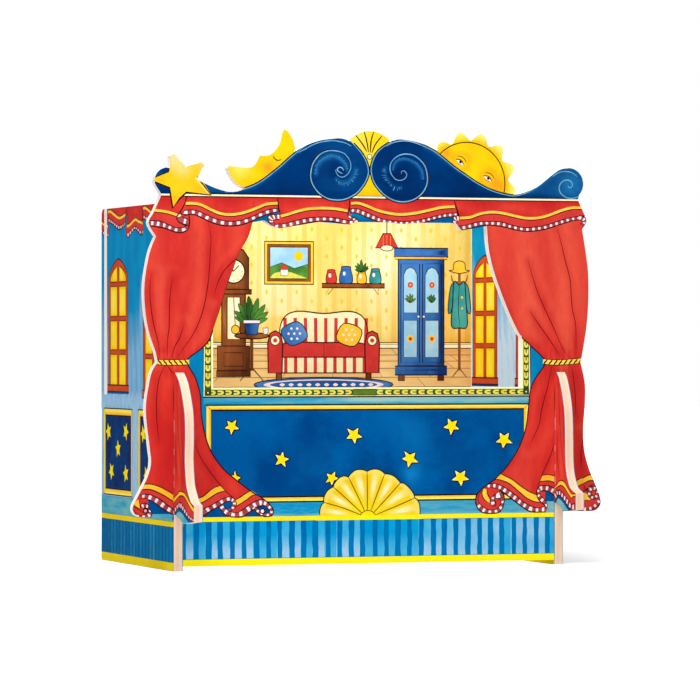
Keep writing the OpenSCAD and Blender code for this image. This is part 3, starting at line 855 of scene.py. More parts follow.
rightFolds = [
    [(170.2, 290.5), (173.9, 277.4), (178.2, 260.6), (182.4, 245.2), (184.2, 222.1), (187.7, 205.2), (188, 178)],
    [(143.2, 261.7), (148.3, 244.9), (154.2, 229.6), (162.6, 212.7), (169.3, 199), (175.2, 186.7), (180.8, 178.6)],
    [(145.1, 218), (150.9, 209.6), (159.3, 198.9), (166, 189.7), (173.4, 178.8)],
    [(165.3, 170.3), (162, 155), (156.3, 135), (153.1, 119.6), (144.8, 102.8)],
    [(168.1, 107.3), (164.8, 95), (158.2, 81.2), (154.1, 71.5), (152.3, 66.9), (151.6, 60.4)],
    [(195.7, 110.3), (192.9, 98), (193.3, 85.7), (195, 74.9), (196.4, 66), (198.6, 62)],
    [(184, 171), (187, 150), (188, 128)],
]
leftEdge = smooth([(-106.2, 314), (-106.5, 300), (-106.8, 292.3), (-110.8, 278.9), (-118.3, 265.7), (-124.4, 251.1),
    (-130.4, 235.1), (-134.7, 220.8), (-140.8, 203.6), (-145.3, 192.4), (-153, 184.8), (-163.5, 177.3),
    (-163.4, 171.9), (-157.3, 161.9), (-152.8, 147.3), (-151.8, 131.4), (-148.7, 114.7), (-143.4, 100.1),
    (-132.6, 85.4), (-120.4, 75.3), (-106.9, 65.6), (-101.5, 62.5), (-96.1, 58.9), (-91.3, 54.8), (-88.5, 51.2),
    (-88.5, 47.1), (-90.7, 45.1)])
rightEdge = smooth([(104.6, 314), (104.8, 300), (105, 289.5), (106.7, 271.9), (111, 253.7), (117.7, 235.7),
    (126, 215.6), (134.4, 199), (144.4, 189.6), (157.8, 177.2), (158.6, 171.9), (149.5, 159.5), (145.3, 148.8),
    (143.8, 136.3), (141.4, 118.3), (134.9, 101.2), (124.4, 85.5), (117.7, 78.9), (111.3, 73.1), (102.9, 67.7),
    (98.6, 63.8), (96, 61.4), (95.1, 57), (95.5, 52.1), (97.1, 49.1), (99.8, 46.6), (102.4, 45.4)])


def rope(line, lean, width=4.0):
    line = smooth(line, 6)
    shapes = stroke("ink", line, width, taper=0) + stroke("braid", line, width - 0.1, taper=0)
    count = int(lengths(line)[-1] / 4.3)
    for i in range(count):
        x, z = along(line, (i + 0.5) / count)
        shapes += stroke("frameYellow", [(x + 0.4 * lean, z + 1.6), (x + 2.4 * lean, z - 1.0)], 1.3)
        bend = [(-1.7, 2.2), (-0.5, 0.4), (0.5, -0.4), (1.7, -2.2)]
        shapes += stroke("ink", smooth([(x + h * lean, z + v) for h, v in bend], 3), 1.0)
    return shapes


def hem(part):
    lines = {key: smooth(part[key]) for key in ("bandUp", "bandLow", "top", "low")}
    shapes = between("hem", lines["bandLow"], lines["low"]) + between("gold", lines["bandUp"], lines["bandLow"])
    shapes += between("mauve", lines["top"], lines["low"])
    shapes += checks(lines["top"], lines["low"], part.get("pitch", 6.5), 0.12, 0.86, part.get("start", 0.25))
    for key, width in (("bandUp", 0.7), ("bandLow", 0.7), ("top", 0.65), ("low", 0.85)):
        shapes += stroke("ink", lines[key], width, taper=0.3)
    return shapes


def curtainShade(folds, edge):
    lines = [smooth(fold, 3) for fold in folds]

    def value(x, z):
        total = 0.0
        for line in lines:
            if min(p[1] for p in line) - 12 < z < max(p[1] for p in line) + 12:
                distance = near((x, z), line)
                if distance < 16:
                    total += 0.28 * bump(distance, 0, 3) - 0.16 * bump(distance, 8, 3.6)
        gather = bump(z, 174.5, 13)
        total += 0.35 * gather + 0.25 * gather * math.sin(x * 1.1 + z * 0.05)
        total += 0.3 * bump(near((x, z), edge), 0, 3)
        low = 0.3 * (x < -60) * stepUp(-z, -140, 10) - 0.35 * (x > 60) * stepUp(z, 195, 10)
        return total + low + 0.16 * math.sin(x * 0.17 + 0.6 * math.sin(z * 0.021)) - 0.06

    return value


hemLeft = {"bandUp": [(-204, 72.6), (-199.4, 73.2), (-195.4, 73.1), (-191, 71.9), (-186.5, 70.2), (-181.2, 67.4),
    (-175.4, 64), (-170, 60.6)],
    "bandLow": [(-206.5, 68), (-202, 68.8), (-197.2, 68.8), (-192.7, 67.5), (-187.4, 65.1), (-182, 62.1),
        (-176.7, 58.7), (-170, 54.6)],
    "top": [(-205.2, 64), (-203.4, 64.6), (-198, 64.7), (-193.1, 63), (-187.4, 60), (-182, 56.1), (-176.2, 51.9),
        (-170, 48.6)],
    "low": [(-205.2, 61), (-203.8, 61.5), (-202, 61.5), (-198.9, 60.5), (-193.1, 57.9), (-187.3, 53.6), (-182, 50.2),
        (-176.6, 47.6), (-170, 45.4)]}
hemMiddle = {"bandUp": [(-170, 60.6), (-166, 59), (-160, 59.2), (-154.6, 60.8), (-149.6, 62.8), (-144.3, 67.1),
    (-140.1, 69.8), (-135, 71.2)],
    "bandLow": [(-170, 54.6), (-165, 53.6), (-159, 54.4), (-152.8, 56.5), (-147.5, 59), (-142.1, 62.3),
        (-136.8, 65.3), (-130.3, 66.8)],
    "top": [(-170, 48.6), (-164, 47.6), (-157, 49.4), (-149, 52.5), (-144.2, 54.2), (-138.9, 57.2), (-132.5, 60.4),
        (-128.3, 61.7), (-124.6, 61.4)],
    "low": [(-170, 45.4), (-163, 44.6), (-156, 45), (-149, 46.6), (-145.3, 49.1), (-141, 51.6), (-136.2, 53.6),
        (-133.6, 55.6), (-129.3, 57.6), (-125.1, 58.3), (-122.8, 57.6)]}
hemLast = {"bandUp": [(-122.4, 58.8), (-117.6, 61.3), (-113.3, 64.1), (-107.8, 67)],
    "bandLow": [(-121, 54), (-116, 56.5), (-111.1, 59.5), (-106.9, 62.5), (-102, 63.4)],
    "top": [(-126.4, 49.6), (-121.3, 48.2), (-117.5, 49.6), (-112.2, 53.2), (-106.8, 56.4), (-101.5, 58.7),
        (-96, 58.9)],
    "low": [(-128.2, 46.6), (-126.1, 45.2), (-121.8, 44.8), (-117.5, 44.8), (-113.2, 45.8), (-108.9, 48.8),
        (-105.2, 51.3), (-101.5, 53.3), (-96.6, 54), (-92.3, 53.2), (-90.2, 50.6)]}


def scroll(outer, inner, pitch=6.2, start=0.2, fill="hem"):
    outer, inner = smooth(outer), smooth(inner)
    shapes = [(fill, outer)] if fill else []
    shapes += between("mauve", outer, inner) + checks(outer, inner, pitch, 0.05, 0.95, start)
    return shapes + stroke("ink", outer, 0.8, taper=0.2) + stroke("ink", inner, 0.55)


def leftCurtain():
    shapes = [("navy", [(-200, 62), (-198.9, 60.5), (-176.6, 47.6), (-165, 45), (-149, 46.6), (-125, 60), (-96, 56),
        (-89, 45.2), (-89, 44.9), (-198, 44.9)])]
    shapes += box("strip", -196, -176.2, 44.9, 48.2)
    shapes += [("curtain", [(-230, 172), (-230, 314)] + [p for p in leftEdge if p[1] > 174])]
    cloth = [p for p in leftEdge if p[1] <= 176]
    shapes += [("curtain", [(-230, 175)] + cloth + smooth(hemLast["low"])[::-1] + smooth(hemMiddle["low"])[::-1]
        + smooth(hemLeft["low"])[::-1] + [(-230, 58)])]
    shapes += hem(hemLeft) + hem(hemMiddle)
    shapes += scroll([(-136.2, 53.6), (-134.6, 51), (-132, 48), (-128.2, 45)],
        [(-132.6, 55.4), (-131, 52.6), (-128, 50.4), (-125.6, 48.6)], 5.2, 0.1, None)
    shapes += scroll([(-124.6, 61.4), (-122.4, 59.6), (-121, 57), (-120.8, 54.5), (-122.9, 51.5), (-126.1, 50)],
        [(-126.4, 58.2), (-124.8, 57.4), (-124.4, 56.2), (-124.8, 54.4), (-126, 52.8), (-128.6, 51.6)], 5.0,
        0.1, None)
    shapes += hem(hemLast)
    shapes += scroll([(-96, 58.9), (-92.6, 56.2), (-89.4, 52.6), (-88.2, 49.2), (-89, 46.4), (-92.4, 44.8),
        (-97, 44.9)],
        [(-98.6, 55.2), (-95, 53.6), (-92.4, 51.2), (-91.4, 49), (-92.2, 47.8), (-94.6, 47.4), (-97.4, 47.8)],
        5.6, 0.1, None)
    shapes += scroll([(-108.6, 50.8), (-105.2, 50.6), (-102.5, 47.9), (-99.3, 45.9), (-96, 45.4)],
        [(-104.6, 53.6), (-102.4, 52), (-100.6, 50.2), (-98.6, 48.8), (-96.4, 48.2)], 5.0, 0.15, None)
    shapes += disc("ink", (-97.6, 49.4), 2.5, 18) + disc("white", (-97.8, 49.4), 1.5, 14)
    for fold in leftFolds:
        shapes += sweep("foldInk", fold, 0.75, taper=0.8)
    rim = smooth([(-213.6, 52.6), (-212, 50.2), (-210.2, 47.3), (-207, 45.4), (-203.7, 44.7), (-198.6, 44.6),
        (-195.8, 46.2), (-194.9, 48.4), (-195.5, 50.8), (-197.3, 52.7), (-197.8, 55.1), (-199.3, 57), (-201.6, 57.5),
        (-203.4, 56.9), (-204.6, 55.6), (-204.8, 54)], 4)
    inner = smooth([(-211.6, 53.2), (-209.6, 49.6), (-207, 47.9), (-203.8, 47.4), (-200.3, 48), (-198.3, 48.9),
        (-197.8, 50.8), (-198.8, 52.8), (-200.5, 53.5), (-202.3, 53.2), (-203, 52)], 4)
    shapes += [("curtain", [(-211, 58.4), (-206.9, 61.2), (-202.5, 61.6), (-198.9, 60.5), (-197.8, 55.1),
        (-197.3, 52.7), (-194.7, 47), (-197, 44), (-216, 44),
        (-216, 58.4)])]
    shapes += outlined("gold", [(-206.6, 60.9), (-205.8, 58), (-205.3, 53), (-207.8, 54), (-210.6, 56.2),
        (-209.6, 58.8)], 0.4)
    shapes += sweep("ink", [(-211.4, 55.6), (-207.8, 53.2), (-204.8, 51.2), (-202.3, 49.2)], 0.5)
    shapes += between("mauve", rim, inner) + checks(rim[8:], inner, 5.6, 0.06, 0.9, 0.3)
    shapes += stroke("ink", rim, 0.7, taper=0.2) + stroke("ink", inner, 0.5)
    shapes += disc("ink", (-200.5, 51), 2.4, 16) + disc("pink", (-200.5, 51), 1.3, 12)
    shapes += stroke("ink", leftEdge, 0.8, taper=0)
    shapes += rope([(-195, 175.3), (-186, 174.4), (-174, 174.2), (-162.6, 174.6)], 1)
    return shapes


lay("left_curtain_art", "front", 5, leftCurtain(), curtainShade(leftFolds, leftEdge), 2.5)

hemRight = {"bandUp": [(117.7, 78.6), (121.9, 76.9), (126.2, 74.9), (130.4, 72.5), (135.8, 68.5), (141.1, 65),
    (146.5, 62), (151.6, 60.2)],
    "bandLow": [(111.4, 73.2), (114, 73.9), (117.7, 73.3), (122.5, 71.8), (127.3, 69.3), (132.6, 65), (136.9, 61.6),
        (141.2, 58.1), (146, 55.6), (149.7, 54.3), (154.8, 54), (156.6, 55.4)],
    "top": [(104.6, 68.8), (108.7, 70.4), (112.9, 70.3), (117.7, 68.8), (123, 66.1), (128.4, 62.6), (132.6, 59.6),
        (136.9, 55.9), (141.2, 52.9), (146, 50.6), (150.3, 49.1), (155.1, 49.1), (160.2, 51)],
    "low": [(98.6, 63.8), (102.3, 66.2), (107.1, 66.7), (112.4, 66.4), (117.2, 64.9), (120.4, 62.7), (124.7, 59.7),
        (129.5, 56.2), (134.8, 52.2), (140.1, 48.7), (144.4, 46.2), (148.2, 45.5), (154, 45.3), (160, 45.3)],
    "pitch": 5.7}
hemNext = {"bandUp": [(156.6, 76.8), (160.3, 77.4), (164.6, 77.2), (169.6, 75.6), (176, 71.6), (184, 70.4),
    (190, 72.8), (193.6, 74.6)],
    "bandLow": [(154.2, 71.6), (159.3, 72), (163.5, 72), (169, 70), (176, 65.6), (184, 64.6), (190, 67.2),
        (194.4, 69.4)],
    "top": [(152.6, 66.4), (155.5, 68.1), (159.8, 68.1), (164.1, 67.3), (168.9, 64.8), (176, 59.4), (184, 57.4),
        (192, 60.4), (198.6, 65.1)],
    "low": [(153, 61.6), (154.5, 63.2), (159.3, 63.6), (163.6, 62.4), (166.8, 59.9), (170, 56.6), (176, 50),
        (184, 46), (192, 45.6), (197, 45.8)]}
def rightCurtain():
    shapes = [("navy", [(151, 62), (164, 64), (170, 58), (178, 50), (186, 46), (186, 44.9), (150, 44.9)])]
    shapes += [("strip", [(157, 54.5), (172, 54.5), (180, 48), (186, 45.1), (186, 44.9), (150, 44.9)])]
    shapes += [("curtain", [(230, 172), (230, 314)] + [p for p in rightEdge if p[1] > 174])]
    cloth = [p for p in rightEdge if 63.5 < p[1] <= 176]
    gap = [(161.3, 48.1), (160.7, 51.5), (158.8, 54.5), (159.6, 63)]
    foot = smooth(hemRight["low"]) + gap + smooth(hemNext["low"])[8:]
    shapes += [("curtain", [(230, 175)] + cloth + foot + [(215, 45), (230, 58)])]
    shapes += hem(hemNext) + hem(hemRight)
    shapes += [("hem", [(154.5, 62.7), (159.6, 63.1), (159.6, 55.5), (158.8, 55.2), (156.1, 58), (154.2, 60.5)])]
    shapes += stroke("ink", [(159.6, 63.4), (159.7, 54.6)], 0.6)
    shapes += scroll([(152.6, 66.4), (151.5, 63.4), (151.6, 60), (153, 56.6), (156.1, 53.3), (158.8, 51.3),
        (160, 48.4)],
        [(155.2, 65.2), (154, 62.6), (154.6, 60.2), (156.7, 58), (159.9, 54.5), (161.2, 51.5), (161.3, 48.1)],
        5.6, 0.3, None)
    shapes += [("curtain", smooth([(105, 67), (104.6, 62.8), (106, 59.6), (108.7, 58), (113, 61), (117, 64.6),
        (112.9, 66.1)], 4, True))]
    big = smooth([(100.8, 66.2), (97.6, 62.9), (95.4, 59), (94.9, 55), (95.5, 52.1), (97.1, 49.1), (99.8, 46.6),
        (103.4, 45.2), (107.2, 44.9), (112.5, 44.9), (116.4, 45.7), (118.9, 47.9), (120.3, 50.9), (121, 54),
        (121.3, 57.7), (120.6, 60.9), (118.2, 63.4)], 5)
    small = smooth([(102.4, 65.6), (99, 62.4), (97.4, 58.9), (97.3, 56), (98.7, 53), (101.4, 50.5), (105.1, 48.5),
        (109.8, 47.5), (114.1, 48.5), (117, 50.9), (118.3, 53.8), (118, 55.6), (115.1, 57.3), (113, 57.8)], 5)
    shapes += [("hem", big + [(113, 61.6), (108.7, 57.8), (106, 60), (105, 66.6)])]
    shapes += between("mauve", big[18:], small[14:66]) + checks(big[20:72], small[16:60], 6.4, 0.04, 0.96, 0.2)
    shapes += [("gold", smooth([(101.3, 65.6), (100.8, 61.8), (101.8, 58.4), (104, 55.7), (107.2, 53.9), (108, 56.1),
        (106.1, 59.3), (105.1, 62.3), (105, 65.4)], 4, True))]
    shapes += sweep("ink", [(101.3, 65.6), (100.8, 61.8), (101.8, 58.4), (104, 55.7), (107.2, 53.9)], 0.6)
    shapes += sweep("ink", [(105, 66), (105.5, 62.8), (106.6, 60.3), (108.7, 58.3)], 0.6)
    arm = smooth([(117.8, 64.2), (114.5, 62.2), (111.4, 60), (108.6, 57.4), (108.2, 54.9), (109.6, 51.9),
        (111.4, 50.8)], 4)
    armIn = smooth([(121, 58.8), (118.4, 58.2), (115.8, 57.3), (113, 57.6), (111.9, 56.6), (112.4, 54.4),
        (113.2, 52.6)], 4)
    shapes += between("mauve", arm, armIn) + checks(arm, armIn, 6.0, 0.05, 0.95, 0.3)
    shapes += stroke("ink", arm, 0.6) + stroke("ink", armIn, 0.6) + stroke("ink", big, 0.8, taper=0.2)
    shapes += stroke("ink", small, 0.55)
    shapes += sweep("ink", [(111.4, 50.8), (113.2, 51.6), (113.4, 54.6), (112, 56.6)], 0.6)
    for fold in rightFolds:
        shapes += sweep("foldInk", fold, 0.75, taper=0.8)
    bandEnd = {"bandUp": [(193.8, 73.9), (196, 75), (197.8, 75.9), (200.8, 76.9), (206, 77)],
        "bandLow": [(194.8, 69.1), (196, 69.8), (198.6, 71.1), (201.2, 71.9), (208, 72)],
        "top": [(197.6, 63), (199, 65.1), (200.1, 66.7), (202.3, 67.7), (204.9, 68.3), (209, 68)],
        "low": [(201.4, 62), (202.2, 63.2), (203.6, 64), (205.2, 64.3), (209, 64)], "pitch": 5.6}
    shapes += [("curtain", [(193, 88), (193.8, 73.9), (206, 77), (206, 90)])] + hem(bandEnd)
    loop = smooth([(206.6, 68.4), (207.8, 65.2), (209.6, 62.8), (211.2, 59.7), (211.8, 56.3), (211.2, 53.2),
        (208.9, 50.2), (205.2, 47.6), (201.3, 45.9), (197.6, 45.2), (193, 45.2)], 5)
    inLoop = smooth([(204.6, 64.2), (206, 62.6), (207.4, 60.6), (208.4, 58.4), (208.8, 56.4), (208.2, 54.4),
        (206.8, 52.6), (204, 50.4), (201, 49.2), (197.4, 48.9), (193, 48.9)], 5)
    shapes += [("hem", loop + [(193, 54.4), (197, 54.8), (197.4, 61), (199.4, 65.1), (204.6, 68.3)])]
    shapes += [("gold", [(193.5, 61), (197.2, 60.7), (199.4, 60.2), (200.5, 57.8), (201.7, 56.1), (200.9, 55),
        (197.2, 54.9), (193, 54.4)])]
    shapes += stroke("ink", [(193, 54.4), (197.2, 54.9), (200.9, 55)], 0.6)
    shapes += between("mauve", loop[20:], inLoop[20:]) + checks(loop[22:], inLoop[22:], 6.2, 0.1, 0.95, 0.2)
    ringOut, ringIn = oval((204.5, 61.4), 5.6, 24, 1.0), oval((204.5, 61.2), 2.5, 16)
    shapes += [("mauve", ringOut)] + checks(ringOut + ringOut[:1], ringIn + ringIn[:1], 5.4, 0.04, 0.96, 0.0)
    shapes += [("curtain", ringIn)] + stroke("ink", ringOut, 0.6, True) + stroke("ink", ringIn, 0.55, True)
    shapes += disc("gold", (198, 58.6), 1.5, 12) + stroke("ink", loop, 0.8, taper=0)
    shapes += stroke("ink", rightEdge, 0.8, taper=0)
    shapes += rope([(157.2, 174.9), (168, 174), (180, 174.4), (194.6, 175.6)], -1)
    return shapes


lay("right_curtain_art", "front", 5, rightCurtain(), curtainShade(rightFolds, rightEdge), 2.5)

# Front board: the crest with waves, fan, sun, moon and star

leftSpiral = smooth([(-26.5, 333.8), (-29.7, 335.2), (-31.2, 337), (-29.9, 338.8), (-27, 338.6), (-25.4, 336.2)])
leftCoil = smooth([(-32.6, 337), (-32.1, 334.4), (-30.3, 332), (-26.7, 330.7), (-22.3, 332.9), (-19.6, 337),
    (-19, 341.2), (-20.2, 345.2), (-22.9, 348.8), (-26.2, 351.3), (-32.5, 352.8), (-39.7, 352.7), (-46.8, 349.5),
    (-52.5, 342.7), (-54.9, 334.6), (-54.5, 327.2), (-50.9, 320.5), (-45.2, 315.2), (-38, 312), (-29.8, 311.3),
    (-23.8, 312.3), (-18.4, 314.6), (-12.9, 318.2), (-7.5, 324.5), (-4.2, 330.7), (-3.2, 336.8), (-4.9, 343.5),
    (-7.6, 348.6), (-11.5, 353.6), (-17, 359.1)])
rightHook = smooth([(27, 334.3), (26.5, 335.9), (28.7, 336.9), (30.9, 335.4), (31.5, 332.9), (29.8, 330.3),
    (26, 328.7), (21.6, 329.6), (17.7, 333.7), (16.3, 338.8), (17.6, 343.9), (21.5, 348.1), (26.4, 350.5),
    (31.9, 351.2), (38, 350), (43.5, 346.5), (48, 341.4), (50.2, 334.3), (50.3, 327.6), (48.6, 322.4), (45.3, 317.7),
    (39.8, 313.5), (32.7, 311), (25.5, 310.6), (18.9, 312.1), (12.3, 315.6), (6.2, 321.1), (1.8, 327.2),
    (-0.4, 334.3), (-0.5, 339.5), (1.2, 345.7), (4.4, 351.4), (8.8, 355.6), (14.3, 359.3), (18.1, 361.2)])
smallScroll = smooth([(180.3, 326.3), (181.4, 324.7), (183.7, 325.3), (184.5, 327.4), (183.1, 330), (180.2, 331.2),
    (176.8, 330.7), (173.5, 328.2), (172.1, 324.6), (172.9, 320.9), (175.8, 317.8), (180.3, 315.8), (185.4, 315.7),
    (190, 317), (193.8, 320.6), (195, 327.1), (193.9, 331.8)])
leftRise = smooth([(-150, 318.9), (-134, 317), (-118.3, 318.7), (-107, 322.2), (-97.9, 327), (-89.4, 333.2),
    (-82.3, 338.7), (-75.3, 344.9), (-66.8, 351.8), (-60, 356.9), (-54, 360.6)])
rightFall = smooth([(47.5, 358.3), (56.4, 354.2), (63.1, 349.6), (70.8, 343.8), (78.7, 338.1), (83.7, 335.1),
    (90.9, 330.5), (97.7, 326.6), (106.1, 322.6), (114.5, 319.8), (122.9, 317.9), (130.6, 317.1), (139.1, 319),
    (144.7, 321.2), (150.3, 324.4), (155.9, 328.1), (163.2, 334), (170, 338.6)])
leftVolute = {
    "hub": (-29, 335.6), "coil": leftCoil,
    "echo": smooth([(-22.8, 337.8), (-25.2, 343), (-30.9, 347.3), (-38.1, 348), (-44.5, 344.9), (-48.9, 340.3),
        (-50.4, 333.5)]),
    "spray": smooth([(-32, 329.3), (-29.2, 326.7), (-25.2, 326), (-20.3, 327.6), (-16.3, 331.9), (-14.4, 337.2)])}
rightVolute = {
    "hub": (25.4, 333), "coil": rightHook,
    "echo": smooth([(19.2, 337.8), (21.6, 343.9), (27.2, 346.7), (34.5, 345.7), (41.1, 342), (45.2, 336.1),
        (46, 330.7)]),
    "spray": smooth([(11.9, 339.2), (12.7, 332.4), (16, 326.8), (22.1, 322.7), (27.3, 323.6)])}


hill = [(-230, 312.3), (-212, 345), (-131, 345)] + [p for p in leftRise if -131 < p[0] < -60]
hill += [(-60, 372), (54, 372)] + rightFall + [(180, 352), (212, 350), (230, 312.3)]
sunDisc = disc("sun", (86.8, 327.2), 34.9, 72)[0][1]
shapes = box("sun", -131, -60, 312, 374) + box("sun", 50, 136, 312, 374)
shapes += [("sun", sunDisc)] + stroke("brownInk", sunDisc, 0.75, True)


def eyeShapes(centre, turn, wide=6.2):
    c, s = math.cos(turn), math.sin(turn)

    def put(points):
        return [(centre[0] + x * wide * c - y * wide * s, centre[1] + x * wide * s + y * wide * c) for x, y in points]

    white = smooth(put([(-0.62, -0.02), (-0.3, 0.16), (0.1, 0.2), (0.6, 0.02), (0.25, -0.2), (-0.2, -0.24)]), 3, True)
    shapes = [("white", white)] + disc("ink", put([(0.02, 0.04)])[0], 1.25, 14)
    shapes += sweep("brownInk", put([(-0.78, -0.04), (-0.32, 0.22), (0.1, 0.26), (0.7, 0)]), 0.75)
    shapes += sweep("brownInk", put([(-0.45, -0.26), (0, -0.34), (0.45, -0.2)]), 0.4)
    return shapes + sweep("brownInk", put([(-0.8, 0.44), (-0.3, 0.72), (0.25, 0.74), (0.8, 0.48)]), 0.55)


shapes += eyeShapes((80.4, 345), -0.62) + eyeShapes((106, 331.4), -0.55)
shapes += sweep("brownInk", [(-88.6, 347.8), (-86.8, 345), (-83.6, 344), (-81, 345.2)], 0.7)
shapes += sweep("brownInk", [(-87.6, 345.9), (-89.2, 345)], 0.4)
shapes += stroke("brownInk", [(-85.4, 344.2), (-86, 342.6)], 0.4)


def skyShade(x, z):
    if x > 40:
        far = math.hypot(x - 86.8, z - 327.2)
        value = 0.9 * blot(x, z, 68, 352, 5.5) + 0.9 * blot(x, z, 116.6, 325, 6)
        for cx, cz in ((81.6, 345.6), (106.6, 331.8)):
            value += 0.5 * bump(math.hypot(x - cx, z - cz), 7, 2.4)
        return value + (0.1 - 1.1 * max(0, (far - 36) / 8) if far > 35 else 0)
    value = 0.95 * blot(x, z, -93, 338.4, 5.5) + 0.35 * bump(near((x, z), leftRise), 0, 4)
    return value - 0.6 * blot(x, z, -118, 338, 8)


lay("sun_and_moon_art", "front", 3, shapes, skyShade, 2.0)

def crest():
    shapes = [("waveBlue", hill)]
    for line in ([p for p in leftRise if p[0] > -131], rightFall):
        shapes += stroke("ink", offset(line, 0.7), 0.9, taper=0)
        shapes += stroke("waveLine", offset(line, -0.2), 0.75, taper=0)
    shapes += [("sun", [(-22, 314), (-13.5, 318), (-7.8, 324.5), (-4, 331.5), (-2.3, 334), (-0.8, 331.5), (2.2, 326),
        (6.6, 320.4), (12.6, 315.2), (18, 313.4)])]
    for color, low, high in (("cream", 313.2, 314.7), ("ink", 312.3, 313.2), ("ink", 314.7, 315.1)):
        shapes += box(color, -210, 210, low, high)
    fanOutline = [(-20, 361.6), (-14, 357), (-9, 351.8), (-4.9, 345), (-2.6, 339), (0.4, 345), (3.6, 351.6),
        (8.2, 356.2), (15.5, 361.4), (20, 372), (-24, 372)]
    shapes += [("shell", fanOutline)]
    for ray in ([(-14.8, 366.4), (-8.8, 359.3), (-4.6, 352.7)], [(-7.2, 369.6), (-4.9, 362.5), (-3.1, 352.2)],
            [(1.9, 369.5), (-0.6, 362.6), (-1.5, 351.8)], [(9, 366.1), (3.3, 359.1), (0, 351.8)]):
        shapes += sweep("ink", ray, 0.85, taper=0.4)
    for volute, flip in ((leftVolute, 1), (rightVolute, -1)):
        coil = volute["coil"]
        body = coil[max(len(coil) - 95, 0):]
        shapes += [("waveBlue", body)]
        shapes += stroke("ink", offset(body, -1.0 * flip), 0.8, taper=0)
        shapes += stroke("waveLine", coil[:40], 0.7) + stroke("waveLine", coil[36:], 1.0, taper=0.4)
        spray, (hubX, hubZ) = volute["spray"], volute["hub"]
        dashes = [along(spray, (k + chance.random()) / 15) + (chance.uniform(1.5, 4),) for k in range(15)]
        dashes += [along(volute["echo"], k / 26) + (0.8 + k * 7 % 5 * 0.3,) for k in range(27)]
        for x, z, size in dashes:
            far = math.dist((x, z), (hubX, hubZ))
            shapes += stroke("waveLine", [(x, z), (x + (x - hubX) / far * size, z + (z - hubZ) / far * size)], 0.4)
    shapes += stroke("waveLine", leftSpiral, 0.9)
    shapes += disc("ink", (-2.1, 348.2), 2.4, 20) + disc("cream", (-2.1, 348.3), 1.8, 18)
    shapes += stroke("waveLine", smallScroll, 0.9, taper=0.4)
    shapes += sweep("waveLine", [(-66.5, 350.6), (-60, 353.8), (-54, 357.2), (-46.9, 359.8), (-36.1, 361.4),
        (-25.4, 360), (-18.6, 357)], 0.8)
    shapes += sweep("waveLine", [(13, 357.4), (18.5, 360.4), (26.5, 362.2), (34.5, 361.9), (41.5, 360.2),
        (48, 357.6)], 0.9)
    shapes += sweep("waveLine", [(166, 334), (172, 337.6), (178, 338.6), (184, 337.6), (189, 334.4)], 0.8)
    return shapes


def waveShade(x, z):
    value = 0.0
    for volute in (leftVolute, rightVolute):
        value -= 0.75 * bump(near((x, z), volute["echo"]), 0, 1.7) + 0.5 * bump(near((x, z), volute["spray"]), 0, 1.8)
        value += 0.35 * blot(x, z, *volute["hub"], 8)
    value -= 0.45 * bump(near((x, z), leftRise), 0, 2.6) * (x < -40)
    value -= 0.4 * bump(near((x, z), rightFall), 0, 2.6) * (x > 45)
    value -= 0.5 * blot(x, z, 184, 328, 9) + 0.45 * blot(x, z, -191, 332, 6)
    value += 0.5 * blot(x, z, 82, 318, 30) - 0.5 * blot(x, z, 184, 322, 22) - 0.25 * blot(x, z, 150, 320, 16)
    return value + 0.4 * bump(z, 315, 3) + 0.15 * math.sin(x * 0.06)


lay("crest_art", "front", 7, crest(), waveShade, 2.5)

starPoints = [(-197, 326.1), (-180, 332.7), (-182, 352), (-173.4, 347.8), (-168.2, 339.5), (-145.2, 353),
    (-153.6, 329.5), (-143.4, 314.4), (-165.1, 316.6), (-170.9, 311.4), (-176.6, 304), (-179.1, 319.7)]
shapes = [("star", starPoints)]
shapes += stroke("ink", [(-155.6, 329.4), (-143.4, 314), (-165.1, 315.9), (-170.9, 310.6), (-176.9, 302.6),
    (-179.9, 319.6), (-197, 325.8)], 1.2, taper=0)
shapes += stroke("ink", [(-197, 326.3), (-180.3, 333.3), (-180, 337)], 0.7, taper=0)
shapes += stroke("cream", [(-157.4, 328.2), (-146.4, 315.8)], 1.0)


def starShade(x, z):
    value = -1.1 * blot(x, z, -176, 346, 9)
    value -= 0.6 * blot(x, z, -168, 336, 6) + 0.9 * blot(x, z, -151, 346, 7)
    for cx, cz in ((-189, 326), (-150.5, 317), (-176.5, 308)):
        value += 0.55 * blot(x, z, cx, cz, 7.5)
    return value


lay("star_art", "front", 8, shapes, starShade, 2.0)


# Side wings: windows, star panels, valance and the curtain on the fin; across is the depth behind the front face

